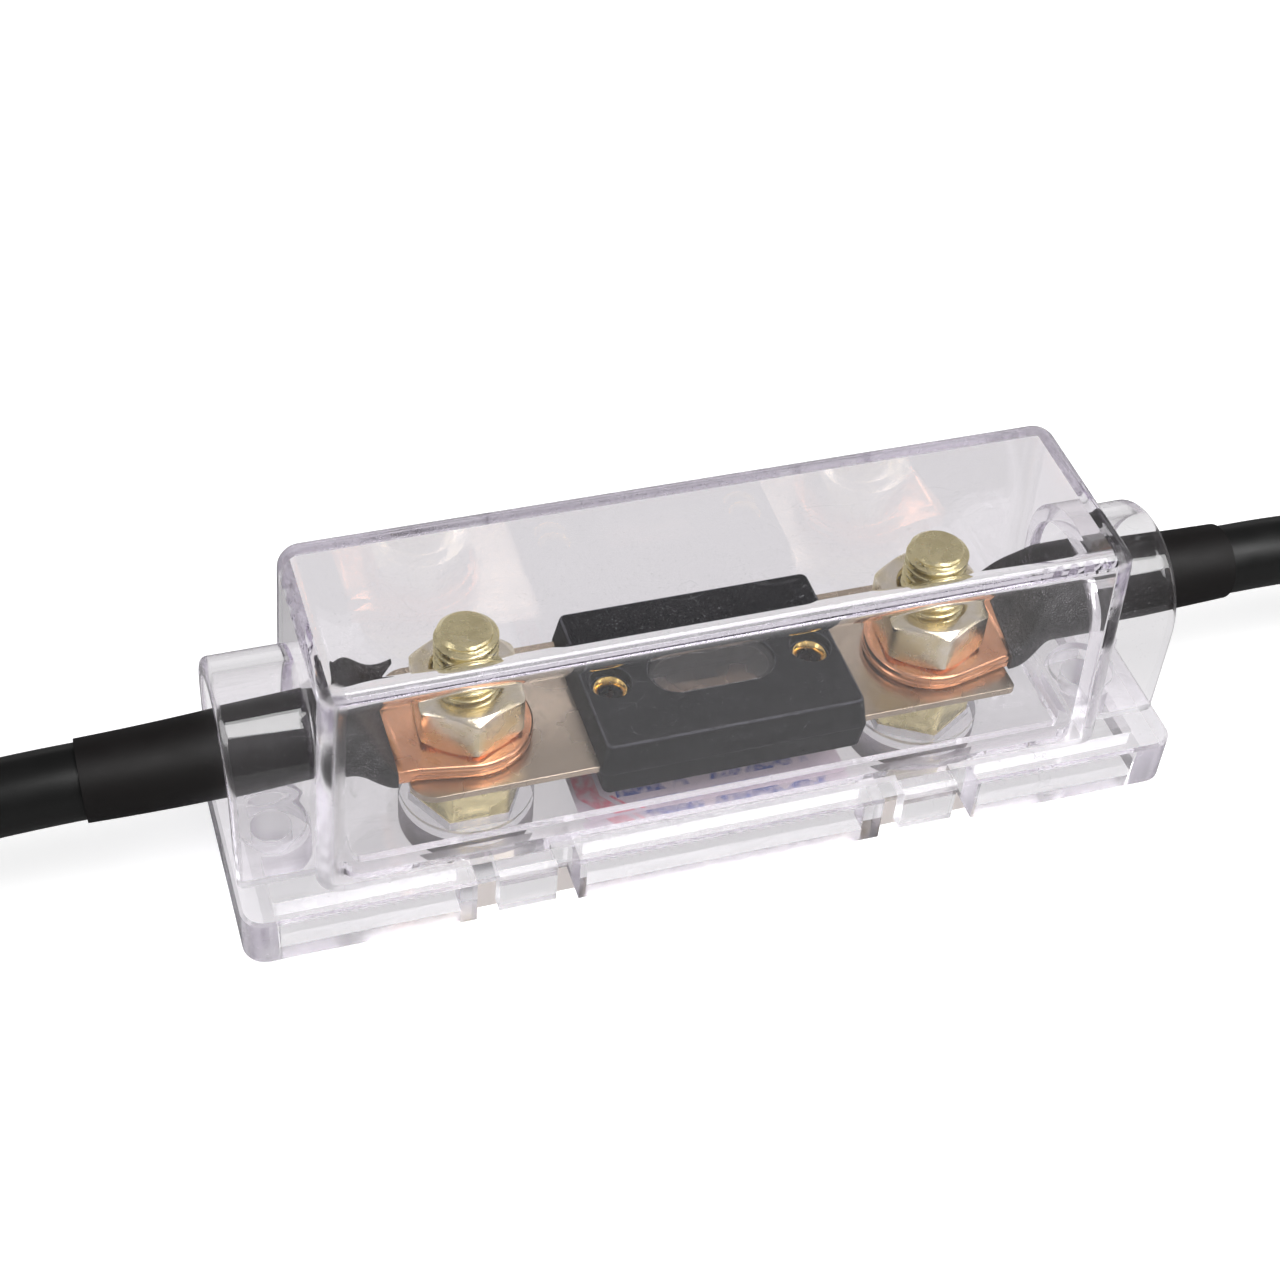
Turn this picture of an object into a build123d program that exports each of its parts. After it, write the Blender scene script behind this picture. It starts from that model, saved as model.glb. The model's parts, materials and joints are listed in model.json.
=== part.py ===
"""Inline holder for a bolt-down strip fuse, with its clear cover and two short leads.

Sizes are in millimetres. X runs along the leads, Y across them, Z up. The origin is the
middle of the base's underside.
"""

import os
from math import acos, atan2, cos, hypot, radians, sin, tan

from build123d import *

os.makedirs("parts", exist_ok=True)

# Base: a shallow inverted tray in clear plastic, with a screw hole at each end
base_length = 124.8
base_width = 35.0
base_height = 7.1
base_corner = 3.0
base_inner_corner = 0.5
base_edge = 0.4
base_end_wall = 4.2
base_side_wall = 4.2
deck_thickness = 2.5
mount_hole_inset = 6.4
mount_hole_diameter = 5.2
mount_recess_diameter = 9.0
mount_recess_depth = 1.2
mount_post_diameter = 10.0

# Studs: a hexagonal collar set in a round boss, and a threaded end
stud_spacing = 61.7
stud_diameter = 8.0
stud_top = 32.1
stud_chamfer = 1.1
hex_across_flats = 13.0
pocket_clearance = 0.1
pocket_floor = 4.6
boss_diameter = 17.4
boss_rise = 0.5
stud_hole_clearance = 0.4
collar_turn = {"left": 0.0, "right": 30.0}

# Nuts
nut_height = 6.5
nut_face_diameter = 12.3
nut_chamfer_angle = 30.0
nut_thread_clearance = 0.05
nut_turn = 26.0

# Strip fuse
blade_plane = 15.9
link_thickness = 1.0
link_length = 79.6
link_width = 20.0
link_corner_left = 3.2
link_corner_right = 0.8
fuse_shift = 1.05
fuse_length = 35.3
fuse_width = 22.6
upper_shell_height = 4.4
lower_shell_height = 3.8
shell_corner = 1.0
upper_end_slope = 0.7
upper_side_slope = 0.6
lower_end_slope = 0.5
lower_side_slope = 0.3
shell_edge = 0.5
element_length = 17.0
element_width = 5.0
element_neck = 1.8
element_neck_length = 3.0
cavity_depth = 2.2
cavity_margin = 1.5
window_length = 15.2
window_width = 6.0
window_ledge = 0.8
window_thickness = 1.0
window_sink = 0.25
window_clearance = 0.1

# Eyelets through the fuse
eyelet_inset = 4.25
eyelet_diameter = 3.4
eyelet_wall = 0.4
eyelet_flange = 4.6
eyelet_flange_thickness = 0.5
eyelet_clearance = 0.05
eyelet_recess_clearance = 0.4
eyelet_recess_depth = 1.6

# Cable lugs
palm_radius = 8.2
palm_thickness = 2.2
palm_edge = 0.5
neck_half_width = 6.4
neck_from_eye = 9.6
neck_run = 0.8
flare_length = 7.0
barrel_radius = 4.8
barrel_roundness = 0.98
barrel_bore = 3.4
barrel_end_from_eye = 28.5
bore_depth = 12.0
lug_swing = {"left": 3.5, "right": 0.0}

# Leads
cable_radius = 4.65
sleeve_wall = 0.65
first_run = 9.0
sleeve_tail = {"left": 9.7, "right": 5.2}
end_sleeve_tail = 7.0
arc_share = 0.45
lead_points = {
    "left": [
        (-84.0, -2.0, 21.4),
        (-103.0, -1.0, 18.6),
        (-122.0, 1.0, 13.2),
        (-141.0, 3.6, 8.2),
        (-160.0, 6.0, 5.8),
        (-176.0, 7.2, 5.5),
        (-190.0, 7.2, 5.5),
    ],
    "right": [
        (85.0, 0.3, 21.5),
        (104.0, 0.8, 19.0),
        (123.0, 0.5, 13.6),
        (142.0, -0.7, 8.5),
        (161.0, -2.2, 5.9),
        (177.0, -3.0, 5.5),
        (191.0, -3.0, 5.5),
    ],
}

# Cover: a drafted clear box with an arched cable tunnel at each end
cover_length = 105.0
cover_width = 29.3
cover_top = 40.0
cover_wall = 2.2
cover_top_wall = 2.8
cover_end_draft = 1.3
cover_side_draft = 0.5
cover_corner = 3.0
cover_inner_corner = 0.4
cover_top_edge = 2.6
tunnel_inset = 0.5
tunnel_radius = 11.0
tunnel_axis_height = 20.8
tunnel_wall = 2.2
tunnel_foot_spread = 0.2
tunnel_rim_edge = 0.5

# Locating rim on the deck, inside the cover's foot
rim_clearance = 0.3
rim_end_gap = 0.8
rim_width = 1.7
rim_height = 2.4

# Snap clips on the cover and their notches in the base
clip_spacing = 54.0
clip_width = 7.4
clip_thickness = 1.9
clip_sink = 0.15
clip_foot_gap = 0.6
notch_length = 13.2
notch_clearance = 0.3
notch_wall = 1.6

# Printed label on the underside of the deck
label_length = 36.0
label_width = 20.0
label_thickness = 0.2
label_corner = 1.5

sides = {"left": -1, "right": 1}
stud_x = stud_spacing / 2
mount_hole_spacing = base_length - 2 * mount_hole_inset
tunnel_reach = base_length / 2 - tunnel_inset
eyelet_spacing = fuse_length - 2 * eyelet_inset
boss_top = base_height + boss_rise
link_top = blade_plane + link_thickness
lug_top = link_top + palm_thickness
parting_plane = blade_plane + link_thickness / 2
fuse_top = parting_plane + upper_shell_height
fuse_bottom = parting_plane - lower_shell_height
lead_height = link_top + barrel_radius
hollow_height = base_height - deck_thickness
cover_inner_length = cover_length - 2 * cover_wall
cover_inner_width = cover_width - 2 * cover_wall
rim_outer_length = cover_inner_length - 2 * rim_end_gap
rim_outer_width = cover_inner_width - 2 * rim_clearance
clip_places = [
    (x, y) for x in (-clip_spacing / 2, clip_spacing / 2) for y in (-base_width / 2, base_width / 2)
]


def finish(piece, name):
    """Label a finished piece and write its STEP file."""
    piece.part.label = name
    export_step(piece.part, f"parts/{name}.step")


# Base
with BuildPart() as base:
    with BuildSketch(Plane.XY):
        RectangleRounded(base_length, base_width, base_corner)
    extrude(amount=base_height)
    chamfer(base.faces().sort_by(Axis.Z)[-1].edges(), base_edge)
    with BuildSketch(Plane.XY):
        RectangleRounded(
            base_length - 2 * base_end_wall,
            base_width - 2 * base_side_wall,
            base_inner_corner,
        )
    extrude(amount=hollow_height, mode=Mode.SUBTRACT)
    with BuildSketch(Plane.XY):
        with Locations((-stud_x, 0), (stud_x, 0)):
            Circle(boss_diameter / 2)
    extrude(amount=boss_top)
    with BuildSketch(Plane.XY):
        with Locations((-mount_hole_spacing / 2, 0), (mount_hole_spacing / 2, 0)):
            Circle(mount_post_diameter / 2)
    extrude(amount=base_height - base_edge)
    notch_depth = (base_width - cover_inner_width) / 2 + notch_clearance
    block_depth = notch_depth + notch_wall
    for x, y in clip_places:
        inward = -1 if y > 0 else 1
        with BuildSketch(Plane.XY):
            with Locations((x, y + inward * (block_depth + base_side_wall) / 2)):
                Rectangle(notch_length + 2 * notch_wall, block_depth - base_side_wall)
        extrude(amount=hollow_height)
    with BuildSketch(Plane.XY.offset(base_height)):
        RectangleRounded(rim_outer_length, rim_outer_width, base_corner)
        RectangleRounded(
            rim_outer_length - 2 * rim_width,
            rim_outer_width - 2 * rim_width,
            base_corner - rim_width,
            mode=Mode.SUBTRACT,
        )
    extrude(amount=rim_height)
    for x, y in clip_places:
        inward = -1 if y > 0 else 1
        with BuildSketch(Plane.XY):
            with Locations((x, y + inward * notch_depth / 2)):
                Rectangle(notch_length, notch_depth)
        extrude(amount=base_height, mode=Mode.SUBTRACT)
    for side, sign in sides.items():
        with BuildSketch(Plane.XY.offset(pocket_floor)):
            with Locations((sign * stud_x, 0)):
                RegularPolygon(
                    hex_across_flats / 2 + pocket_clearance, 6, major_radius=False,
                    rotation=collar_turn[side],
                )
        extrude(amount=boss_top - pocket_floor, mode=Mode.SUBTRACT)
    with Locations(
        (-mount_hole_spacing / 2, 0, base_height), (mount_hole_spacing / 2, 0, base_height)
    ):
        CounterBoreHole(mount_hole_diameter / 2, mount_recess_diameter / 2, mount_recess_depth)
finish(base, "base")

# Printed label
with BuildPart() as base_label:
    with BuildSketch(Plane.XY.offset(hollow_height - label_thickness)):
        RectangleRounded(label_length, label_width, label_corner)
    extrude(amount=label_thickness)
finish(base_label, "base_label")

# Studs
for side, sign in sides.items():
    with BuildPart() as stud:
        with BuildSketch(Plane.XY.offset(pocket_floor)):
            with Locations((sign * stud_x, 0)):
                RegularPolygon(
                    hex_across_flats / 2, 6, major_radius=False, rotation=collar_turn[side]
                )
        extrude(amount=blade_plane - pocket_floor)
        with BuildSketch(Plane.XY.offset(blade_plane)):
            with Locations((sign * stud_x, 0)):
                Circle(stud_diameter / 2)
        extrude(amount=stud_top - blade_plane)
        chamfer(stud.faces().sort_by(Axis.Z)[-1].edges(), stud_chamfer)
    finish(stud, f"{side}_stud")

# Nuts: a turned disc with chamfered rims, trimmed to a hexagon
hex_corner_radius = hex_across_flats / 2 / cos(radians(30)) + pocket_clearance
nut_face_radius = nut_face_diameter / 2
nut_rim_drop = (hex_corner_radius - nut_face_radius) * tan(radians(nut_chamfer_angle))
nut_top = lug_top + nut_height
for side, sign in sides.items():
    x = sign * stud_x
    with BuildPart() as nut:
        with BuildSketch(Plane.XZ):
            with BuildLine():
                Polyline(
                    (x, lug_top),
                    (x + nut_face_radius, lug_top),
                    (x + hex_corner_radius, lug_top + nut_rim_drop),
                    (x + hex_corner_radius, nut_top - nut_rim_drop),
                    (x + nut_face_radius, nut_top),
                    (x, nut_top),
                    close=True,
                )
            make_face()
        revolve(axis=Axis((x, 0, 0), (0, 0, 1)))
        with BuildSketch(Plane.XY.offset(lug_top)):
            with Locations((x, 0)):
                RegularPolygon(hex_across_flats / 2, 6, major_radius=False, rotation=nut_turn)
        extrude(amount=nut_height, mode=Mode.INTERSECT)
        with Locations((x, 0, nut_top)):
            Hole(stud_diameter / 2 + nut_thread_clearance)
    finish(nut, f"{side}_nut")

# Fuse link: one stamped strip with two blades and a necked element between them
with BuildPart() as fuse_link:
    with BuildSketch(Plane.XY.offset(blade_plane)) as link_outline:
        Rectangle(link_length, link_width)
        fillet(link_outline.vertices().group_by(Axis.X)[0], link_corner_left)
        fillet(link_outline.vertices().group_by(Axis.X)[-1], link_corner_right)
        element_side = (link_width - element_width) / 2
        with Locations(
            (fuse_shift, link_width / 2 - element_side / 2),
            (fuse_shift, -link_width / 2 + element_side / 2),
        ):
            Rectangle(element_length, element_side, mode=Mode.SUBTRACT)
        neck_side = (element_width - element_neck) / 2
        with Locations(
            (fuse_shift, element_width / 2 - neck_side / 2),
            (fuse_shift, -element_width / 2 + neck_side / 2),
        ):
            Rectangle(element_neck_length, neck_side, mode=Mode.SUBTRACT)
        with Locations((-stud_x, 0), (stud_x, 0)):
            Circle((stud_diameter + stud_hole_clearance) / 2, mode=Mode.SUBTRACT)
        with Locations(
            (fuse_shift - eyelet_spacing / 2, 0), (fuse_shift + eyelet_spacing / 2, 0)
        ):
            Circle(eyelet_diameter / 2 + eyelet_clearance, mode=Mode.SUBTRACT)
    extrude(amount=link_thickness)
finish(fuse_link, "fuse_link")

# Fuse shells: an upper and a lower moulding clamped round the link
eyelet_places = [(fuse_shift - eyelet_spacing / 2, 0), (fuse_shift + eyelet_spacing / 2, 0)]
cavity_length = element_length + 2 * cavity_margin
cavity_width = element_width + 2 * cavity_margin


def shell_block(direction, outer_height, end_slope, side_slope):
    """A drafted shell blank that grows up (1) or down (-1) from the parting plane."""
    with BuildPart() as block:
        for height, inset in ((parting_plane, 0), (outer_height, 1)):
            with BuildSketch(Plane.XY.offset(height)):
                with Locations((fuse_shift, 0)):
                    RectangleRounded(
                        fuse_length - 2 * inset * end_slope,
                        fuse_width - 2 * inset * side_slope,
                        shell_corner,
                    )
        loft()
        outer_face = block.faces().filter_by(Plane.XY).sort_by(Axis.Z)[-1 if direction > 0 else 0]
        fillet(outer_face.edges(), shell_edge)
    return block.part


def shell_inside(direction, outer_height):
    """What is cut from a shell: the link's slot, the element's cavity and the eyelet holes."""
    inner = Plane.XY.offset(parting_plane)
    with BuildPart() as inside:
        with BuildSketch(inner):
            with Locations((fuse_shift, 0)):
                Rectangle(fuse_length + link_thickness, link_width + 2 * eyelet_clearance)
        extrude(amount=direction * link_thickness / 2)
        with BuildSketch(inner):
            with Locations((fuse_shift, 0)):
                Rectangle(cavity_length, cavity_width)
        extrude(amount=direction * (link_thickness / 2 + cavity_depth))
        with BuildSketch(inner):
            with Locations(*eyelet_places):
                Circle(eyelet_diameter / 2 + eyelet_clearance)
        extrude(amount=outer_height - parting_plane)
        with BuildSketch(Plane.XY.offset(outer_height)):
            with Locations(*eyelet_places):
                Circle(eyelet_flange / 2 + eyelet_recess_clearance)
        extrude(amount=-direction * eyelet_recess_depth)
    return inside.part


with BuildPart() as fuse_lower_shell:
    add(shell_block(-1, fuse_bottom, lower_end_slope, lower_side_slope))
    add(shell_inside(-1, fuse_bottom), mode=Mode.SUBTRACT)
finish(fuse_lower_shell, "fuse_lower_shell")

window_floor = fuse_top - window_sink - window_thickness
with BuildPart() as fuse_upper_shell:
    add(shell_block(1, fuse_top, upper_end_slope, upper_side_slope))
    add(shell_inside(1, fuse_top), mode=Mode.SUBTRACT)
    with BuildSketch(Plane.XY.offset(fuse_top)):
        with Locations((fuse_shift, 0)):
            SlotOverall(window_length + 2 * window_ledge, window_width + 2 * window_ledge)
    extrude(amount=window_floor - fuse_top, mode=Mode.SUBTRACT)
    with BuildSketch(Plane.XY.offset(fuse_top)):
        with Locations((fuse_shift, 0)):
            SlotOverall(window_length, window_width)
    extrude(amount=parting_plane - fuse_top, mode=Mode.SUBTRACT)
finish(fuse_upper_shell, "fuse_upper_shell")

with BuildPart() as fuse_window:
    with BuildSketch(Plane.XY.offset(window_floor)):
        with Locations((fuse_shift, 0)):
            SlotOverall(
                window_length + 2 * (window_ledge - window_clearance),
                window_width + 2 * (window_ledge - window_clearance),
            )
    extrude(amount=window_thickness)
finish(fuse_window, "fuse_window")

# Eyelets: a tube with a rolled flange at each end, turned about its own axis
eyelet_top = fuse_top - eyelet_recess_depth
eyelet_bottom = fuse_bottom + eyelet_recess_depth
for side, (x, y) in zip(sides, eyelet_places):
    with BuildPart() as eyelet:
        with BuildSketch(Plane.XZ):
            with BuildLine():
                Polyline(
                    (x + eyelet_diameter / 2 - eyelet_wall, eyelet_bottom - eyelet_flange_thickness),
                    (x + eyelet_flange / 2, eyelet_bottom - eyelet_flange_thickness),
                    (x + eyelet_flange / 2, eyelet_bottom),
                    (x + eyelet_diameter / 2, eyelet_bottom),
                    (x + eyelet_diameter / 2, eyelet_top),
                    (x + eyelet_flange / 2, eyelet_top),
                    (x + eyelet_flange / 2, eyelet_top + eyelet_flange_thickness),
                    (x + eyelet_diameter / 2 - eyelet_wall, eyelet_top + eyelet_flange_thickness),
                    close=True,
                )
            make_face()
        revolve(axis=Axis((x, y, 0), (0, 0, 1)))
    finish(eyelet, f"{side}_eyelet")

# Lugs: each is made in its own frame, with the eye at the origin and the barrel along +X


def lug_neck(wall, lead_in=0):
    """The neck, flare and barrel of a lug as one solid, grown by a wall all round."""
    flare_end = neck_from_eye + flare_length
    radius = barrel_radius + wall
    with BuildPart() as neck:
        with BuildSketch(Plane.YZ.offset(neck_from_eye)) as neck_section:
            with Locations((0, palm_thickness / 2)):
                RectangleRounded(
                    2 * (neck_half_width + wall), palm_thickness + 2 * wall, palm_edge + wall
                )
        with BuildSketch(Plane.YZ.offset(flare_end)) as barrel_section:
            with Locations((0, barrel_radius)):
                RectangleRounded(2 * radius, 2 * radius, barrel_roundness * radius)
        loft()
        extrude(barrel_section.sketch, amount=barrel_end_from_eye - flare_end)
        if lead_in > 0:
            extrude(neck_section.sketch, amount=-lead_in)
    return neck.part


def lug_solid():
    """A tube lug: a flattened palm with a stud hole, a flare and a bored barrel."""
    shoulder = neck_from_eye - neck_run
    tangent_angle = atan2(neck_half_width, shoulder)
    tangent_angle += acos(palm_radius / hypot(shoulder, neck_half_width))
    tangent = Vector(palm_radius * cos(tangent_angle), palm_radius * sin(tangent_angle))
    with BuildPart() as lug:
        with BuildSketch(Plane.XY):
            with BuildLine():
                ThreePointArc((tangent.X, tangent.Y), (-palm_radius, 0), (tangent.X, -tangent.Y))
                Polyline(
                    (tangent.X, -tangent.Y), (shoulder, -neck_half_width),
                    (neck_from_eye, -neck_half_width), (neck_from_eye, neck_half_width),
                    (shoulder, neck_half_width), (tangent.X, tangent.Y),
                )
            make_face()
        extrude(amount=palm_thickness)
        rim = lug.faces().filter_by(Axis.Z).edges().sort_by(Axis.X)[:-2]
        fillet(rim, palm_edge)
        add(lug_neck(0))
        Hole((stud_diameter + stud_hole_clearance) / 2)
        with BuildSketch(Plane.YZ.offset(barrel_end_from_eye)):
            with Locations((0, barrel_radius)):
                Circle(barrel_bore)
        extrude(amount=-bore_depth, mode=Mode.SUBTRACT)
    return lug.part


def conductor_solid():
    """The stripped strands that fill a lug's bore."""
    with BuildPart() as strands:
        with BuildSketch(Plane.YZ.offset(barrel_end_from_eye)):
            with Locations((0, barrel_radius)):
                Circle(barrel_bore)
        extrude(amount=-bore_depth)
    return strands.part


def cable_corners(points):
    """Each corner's arc radius: as large as its two runs allow."""
    runs = [after - before for before, after in zip(points, points[1:])]
    radii = []
    for before, after in zip(runs, runs[1:]):
        half_turn = radians(before.get_angle(after)) / 2
        radii.append(arc_share * min(before.length, after.length) / tan(half_turn))
    return radii


lug_part = lug_solid()
strands_part = conductor_solid()
sleeve_outer = lug_neck(sleeve_wall)
sleeve_inner = lug_neck(0, lead_in=palm_thickness)

for side, sign in sides.items():
    turn = (0 if sign > 0 else 180) + lug_swing[side]
    out = Vector(cos(radians(turn)), sin(radians(turn)), 0)
    near_place = Location((sign * stud_x, 0, link_top), (0, 0, turn))
    cable_start = Vector(sign * stud_x, 0, lead_height) + out * barrel_end_from_eye
    points = [cable_start, cable_start + out * first_run]
    points += [Vector(*point) for point in lead_points[side]]
    radii = cable_corners(points)
    print(side, "arc radii", [round(radius) for radius in radii])
    end = points[-1]
    end_place = Location(
        (end.X + sign * barrel_end_from_eye, end.Y, end.Z - barrel_radius),
        (0, 0, 180 if sign > 0 else 0),
    )

    with BuildPart() as cable:
        with BuildLine():
            route = FilletPolyline(*points, radius=radii)
        with BuildSketch(Plane(origin=cable_start, z_dir=out)):
            Circle(cable_radius)
        sweep(path=route)
    print(side, "cable length", round(route.length, 1), "volume", round(cable.part.volume, 1))
    finish(cable, f"{side}_cable")

    heading = (points[2] - points[1]).normalized()
    tail_end = points[1] + heading * sleeve_tail[side]
    with BuildPart() as heat_shrink:
        with BuildLine():
            tail = FilletPolyline(cable_start, points[1], tail_end, radius=radii[0])
        with Locations(near_place):
            add(sleeve_outer)
        with BuildSketch(Plane(origin=cable_start, z_dir=out)):
            Circle(cable_radius + sleeve_wall)
        sweep(path=tail)
        with Locations(near_place):
            add(sleeve_inner, mode=Mode.SUBTRACT)
        with BuildSketch(Plane(origin=cable_start, z_dir=out)):
            Circle(cable_radius)
        sweep(path=tail, mode=Mode.SUBTRACT)
    finish(heat_shrink, f"{side}_heat_shrink")

    with BuildPart() as end_heat_shrink:
        with Locations(end_place):
            add(sleeve_outer)
        with BuildSketch(Plane(origin=end, z_dir=(-sign, 0, 0))):
            Circle(cable_radius + sleeve_wall)
        extrude(amount=end_sleeve_tail)
        with Locations(end_place):
            add(sleeve_inner, mode=Mode.SUBTRACT)
        with BuildSketch(Plane(origin=end, z_dir=(-sign, 0, 0))):
            Circle(cable_radius)
        extrude(amount=end_sleeve_tail, mode=Mode.SUBTRACT)
    finish(end_heat_shrink, f"{side}_end_heat_shrink")

    for place, prefix in ((near_place, side), (end_place, f"{side}_end")):
        with BuildPart() as lug:
            with Locations(place):
                add(lug_part)
        finish(lug, f"{prefix}_lug")
        with BuildPart() as conductor:
            with Locations(place):
                add(strands_part)
        finish(conductor, f"{prefix}_conductor")


# Cover


def cover_block(wall, top_wall, corner, top_edge):
    """The cover's drafted box, with its walls and its top moved in, or its outside with none."""
    with BuildPart() as block:
        for height, inset in ((base_height, 0), (cover_top - top_wall, 1)):
            with BuildSketch(Plane.XY.offset(height)):
                RectangleRounded(
                    cover_length - 2 * wall - 2 * inset * cover_end_draft,
                    cover_width - 2 * wall - 2 * inset * cover_side_draft,
                    corner,
                )
        loft()
        if top_edge:
            fillet(block.faces().sort_by(Axis.Z)[-1].edges(), top_edge)
    return block.part


def tunnel_block(wall, reach):
    """The arch of both cable tunnels as one solid, with its walls moved in by a wall."""
    radius = tunnel_radius - wall
    foot = radius + tunnel_foot_spread
    with BuildPart() as block:
        with BuildSketch(Plane.YZ.offset(-reach)):
            with BuildLine():
                Polyline(
                    (-radius, tunnel_axis_height), (-foot, base_height),
                    (foot, base_height), (radius, tunnel_axis_height),
                )
                ThreePointArc(
                    (radius, tunnel_axis_height), (0, tunnel_axis_height + radius),
                    (-radius, tunnel_axis_height),
                )
            make_face()
        extrude(amount=2 * reach)
    return block.part


with BuildPart() as cover:
    add(tunnel_block(0, tunnel_reach))
    rim_edges = cover.edges().group_by(Axis.X)
    chamfer(
        (rim_edges[0] + rim_edges[-1]).filter_by(lambda edge: edge.center().Z > base_height),
        tunnel_rim_edge,
    )
    add(cover_block(0, 0, cover_corner, cover_top_edge))
    add(cover_block(cover_wall, cover_top_wall, cover_inner_corner, 0), mode=Mode.SUBTRACT)
    add(tunnel_block(tunnel_wall, cover_length), mode=Mode.SUBTRACT)
    clip_face = base_width / 2 - clip_sink
    clip_root = cover_inner_width / 2
    for x, y in clip_places:
        outward = 1 if y > 0 else -1
        with BuildSketch(Plane.XY.offset(base_height)):
            with Locations((x, outward * (clip_face + clip_root) / 2)):
                Rectangle(clip_width, clip_face - clip_root)
        extrude(amount=-clip_thickness)
        with BuildSketch(Plane.XY.offset(base_height)):
            with Locations((x, outward * (clip_face - clip_thickness / 2))):
                Rectangle(clip_width, clip_thickness)
        extrude(amount=clip_foot_gap - base_height)
finish(cover, "cover")
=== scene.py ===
"""Looks of an inline holder for a bolt-down strip fuse.

A clear box over a clear base, two plated studs with nuts, a dark moulded fuse, and a heavy lead
with a copper ring lug at each end. X runs along the leads, Y away from the camera, Z up.
"""

import json
import logging
from collections.abc import Sequence
from dataclasses import dataclass, field
from enum import Enum
from math import acos, atan2, cos, hypot, pi, radians, sin, sqrt, tan

import bmesh
import bpy
import numpy as np
from mathutils import Matrix, Vector

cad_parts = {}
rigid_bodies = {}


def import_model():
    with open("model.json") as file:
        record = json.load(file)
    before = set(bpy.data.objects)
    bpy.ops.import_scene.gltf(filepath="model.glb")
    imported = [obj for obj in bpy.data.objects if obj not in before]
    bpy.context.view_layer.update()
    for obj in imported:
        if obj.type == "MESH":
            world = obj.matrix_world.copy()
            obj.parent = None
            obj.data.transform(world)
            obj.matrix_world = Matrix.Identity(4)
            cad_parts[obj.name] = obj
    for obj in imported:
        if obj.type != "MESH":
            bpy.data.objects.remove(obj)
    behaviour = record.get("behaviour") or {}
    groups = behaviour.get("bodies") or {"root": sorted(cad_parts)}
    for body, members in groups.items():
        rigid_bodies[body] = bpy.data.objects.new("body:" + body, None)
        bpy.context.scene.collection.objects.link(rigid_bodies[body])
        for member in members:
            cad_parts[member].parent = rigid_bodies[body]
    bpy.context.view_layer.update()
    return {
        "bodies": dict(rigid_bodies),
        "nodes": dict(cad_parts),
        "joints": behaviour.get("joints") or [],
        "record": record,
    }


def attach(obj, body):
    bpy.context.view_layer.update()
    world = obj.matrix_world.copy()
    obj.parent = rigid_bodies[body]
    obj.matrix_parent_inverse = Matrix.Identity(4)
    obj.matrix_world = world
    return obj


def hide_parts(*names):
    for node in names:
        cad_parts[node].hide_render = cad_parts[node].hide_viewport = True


logger = logging.getLogger("strip_fuse_holder")

MM = 0.001
TURN = 2 * pi
ROUND_STEPS = 96

# In metres: how close points are joined, in a new shell and in a CAD node's loose triangles.
WELD_DISTANCE = 1e-7
CAD_WELD_DISTANCE = 2e-6

# In degrees: the angle between a CAD node's faces below which they become one.
FLAT_ANGLE = 0.3

# In millimetres: the distance between the two studs' axes.
STUD_SPACING = 61.7

Socket = bpy.types.NodeSocket
Colour = tuple[float, float, float]
Span = tuple[float, float]


class Side(Enum):
    """The two ends of the holder, each with the direction it points along X."""

    LEFT = -1
    RIGHT = 1

    @property
    def label(self) -> str:
        """The side's name as the CAD nodes spell it."""
        return self.name.lower()


class Body(Enum):
    """The CAD bodies that pieces ride on."""

    HOLDER = "holder"
    COVER = "cover"


# Mesh making


@dataclass
class Shell:
    """Points and faces of one piece, gathered grid by grid, in millimetres."""

    points: list[np.ndarray] = field(default_factory=list)
    faces: list[list[int]] = field(default_factory=list)
    count: int = 0

    def grid(self, surface: np.ndarray, round_rows: bool = False) -> np.ndarray:
        """Adds rows of points and joins neighbours with quads, each row's last point to its first.

        Args:
            surface: Points as an array of rows, columns and X, Y, Z.
            round_rows: Whether the last row joins the first.

        Returns:
            The points' numbers, one row for each row of the surface.
        """
        rows, columns = surface.shape[:2]
        numbers = np.arange(rows * columns).reshape(rows, columns) + self.count
        lattice = np.concatenate([numbers, numbers[:, :1]], axis=1)
        if round_rows:
            lattice = np.concatenate([lattice, lattice[:1]], axis=0)
        corners = (lattice[:-1, :-1], lattice[:-1, 1:], lattice[1:, 1:], lattice[1:, :-1])
        quads = np.stack(corners, axis=-1)
        self.points.append(surface.reshape(-1, 3))
        self.faces.extend(quads.reshape(-1, 4).tolist())
        self.count += rows * columns
        return numbers

    def close(self, rim: np.ndarray) -> None:
        """Fills a ring of points with a fan about their middle.

        Args:
            rim: The numbers of the ring's points, in order.
        """
        every = np.concatenate(self.points)
        self.points.append(every[rim].mean(axis=0, keepdims=True))
        fan = np.stack([rim, np.roll(rim, -1), np.full(len(rim), self.count)], axis=-1)
        self.faces.extend(fan.tolist())
        self.count += 1

    def cap(self, rim: np.ndarray) -> None:
        """Fills a flat ring of points with one face."""
        self.faces.append([int(number) for number in rim])

    def build(self, name: str, sharp_angle: float = 40.0) -> bpy.types.Object:
        """Makes the mesh object, with its faces outwards and its sharp edges marked.

        Args:
            name: The piece's name.
            sharp_angle: The angle between faces, in degrees, past which an edge is sharp.

        Returns:
            The new object, at the origin and in metres.
        """
        mesh = bpy.data.meshes.new(name)
        mesh.from_pydata((np.concatenate(self.points) * MM).tolist(), [], self.faces)
        welded = bmesh.new()
        welded.from_mesh(mesh)
        bmesh.ops.remove_doubles(welded, verts=welded.verts, dist=WELD_DISTANCE)
        bmesh.ops.recalc_face_normals(welded, faces=welded.faces)
        welded.to_mesh(mesh)
        welded.free()
        return show(name, mesh, sharp_angle)


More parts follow.
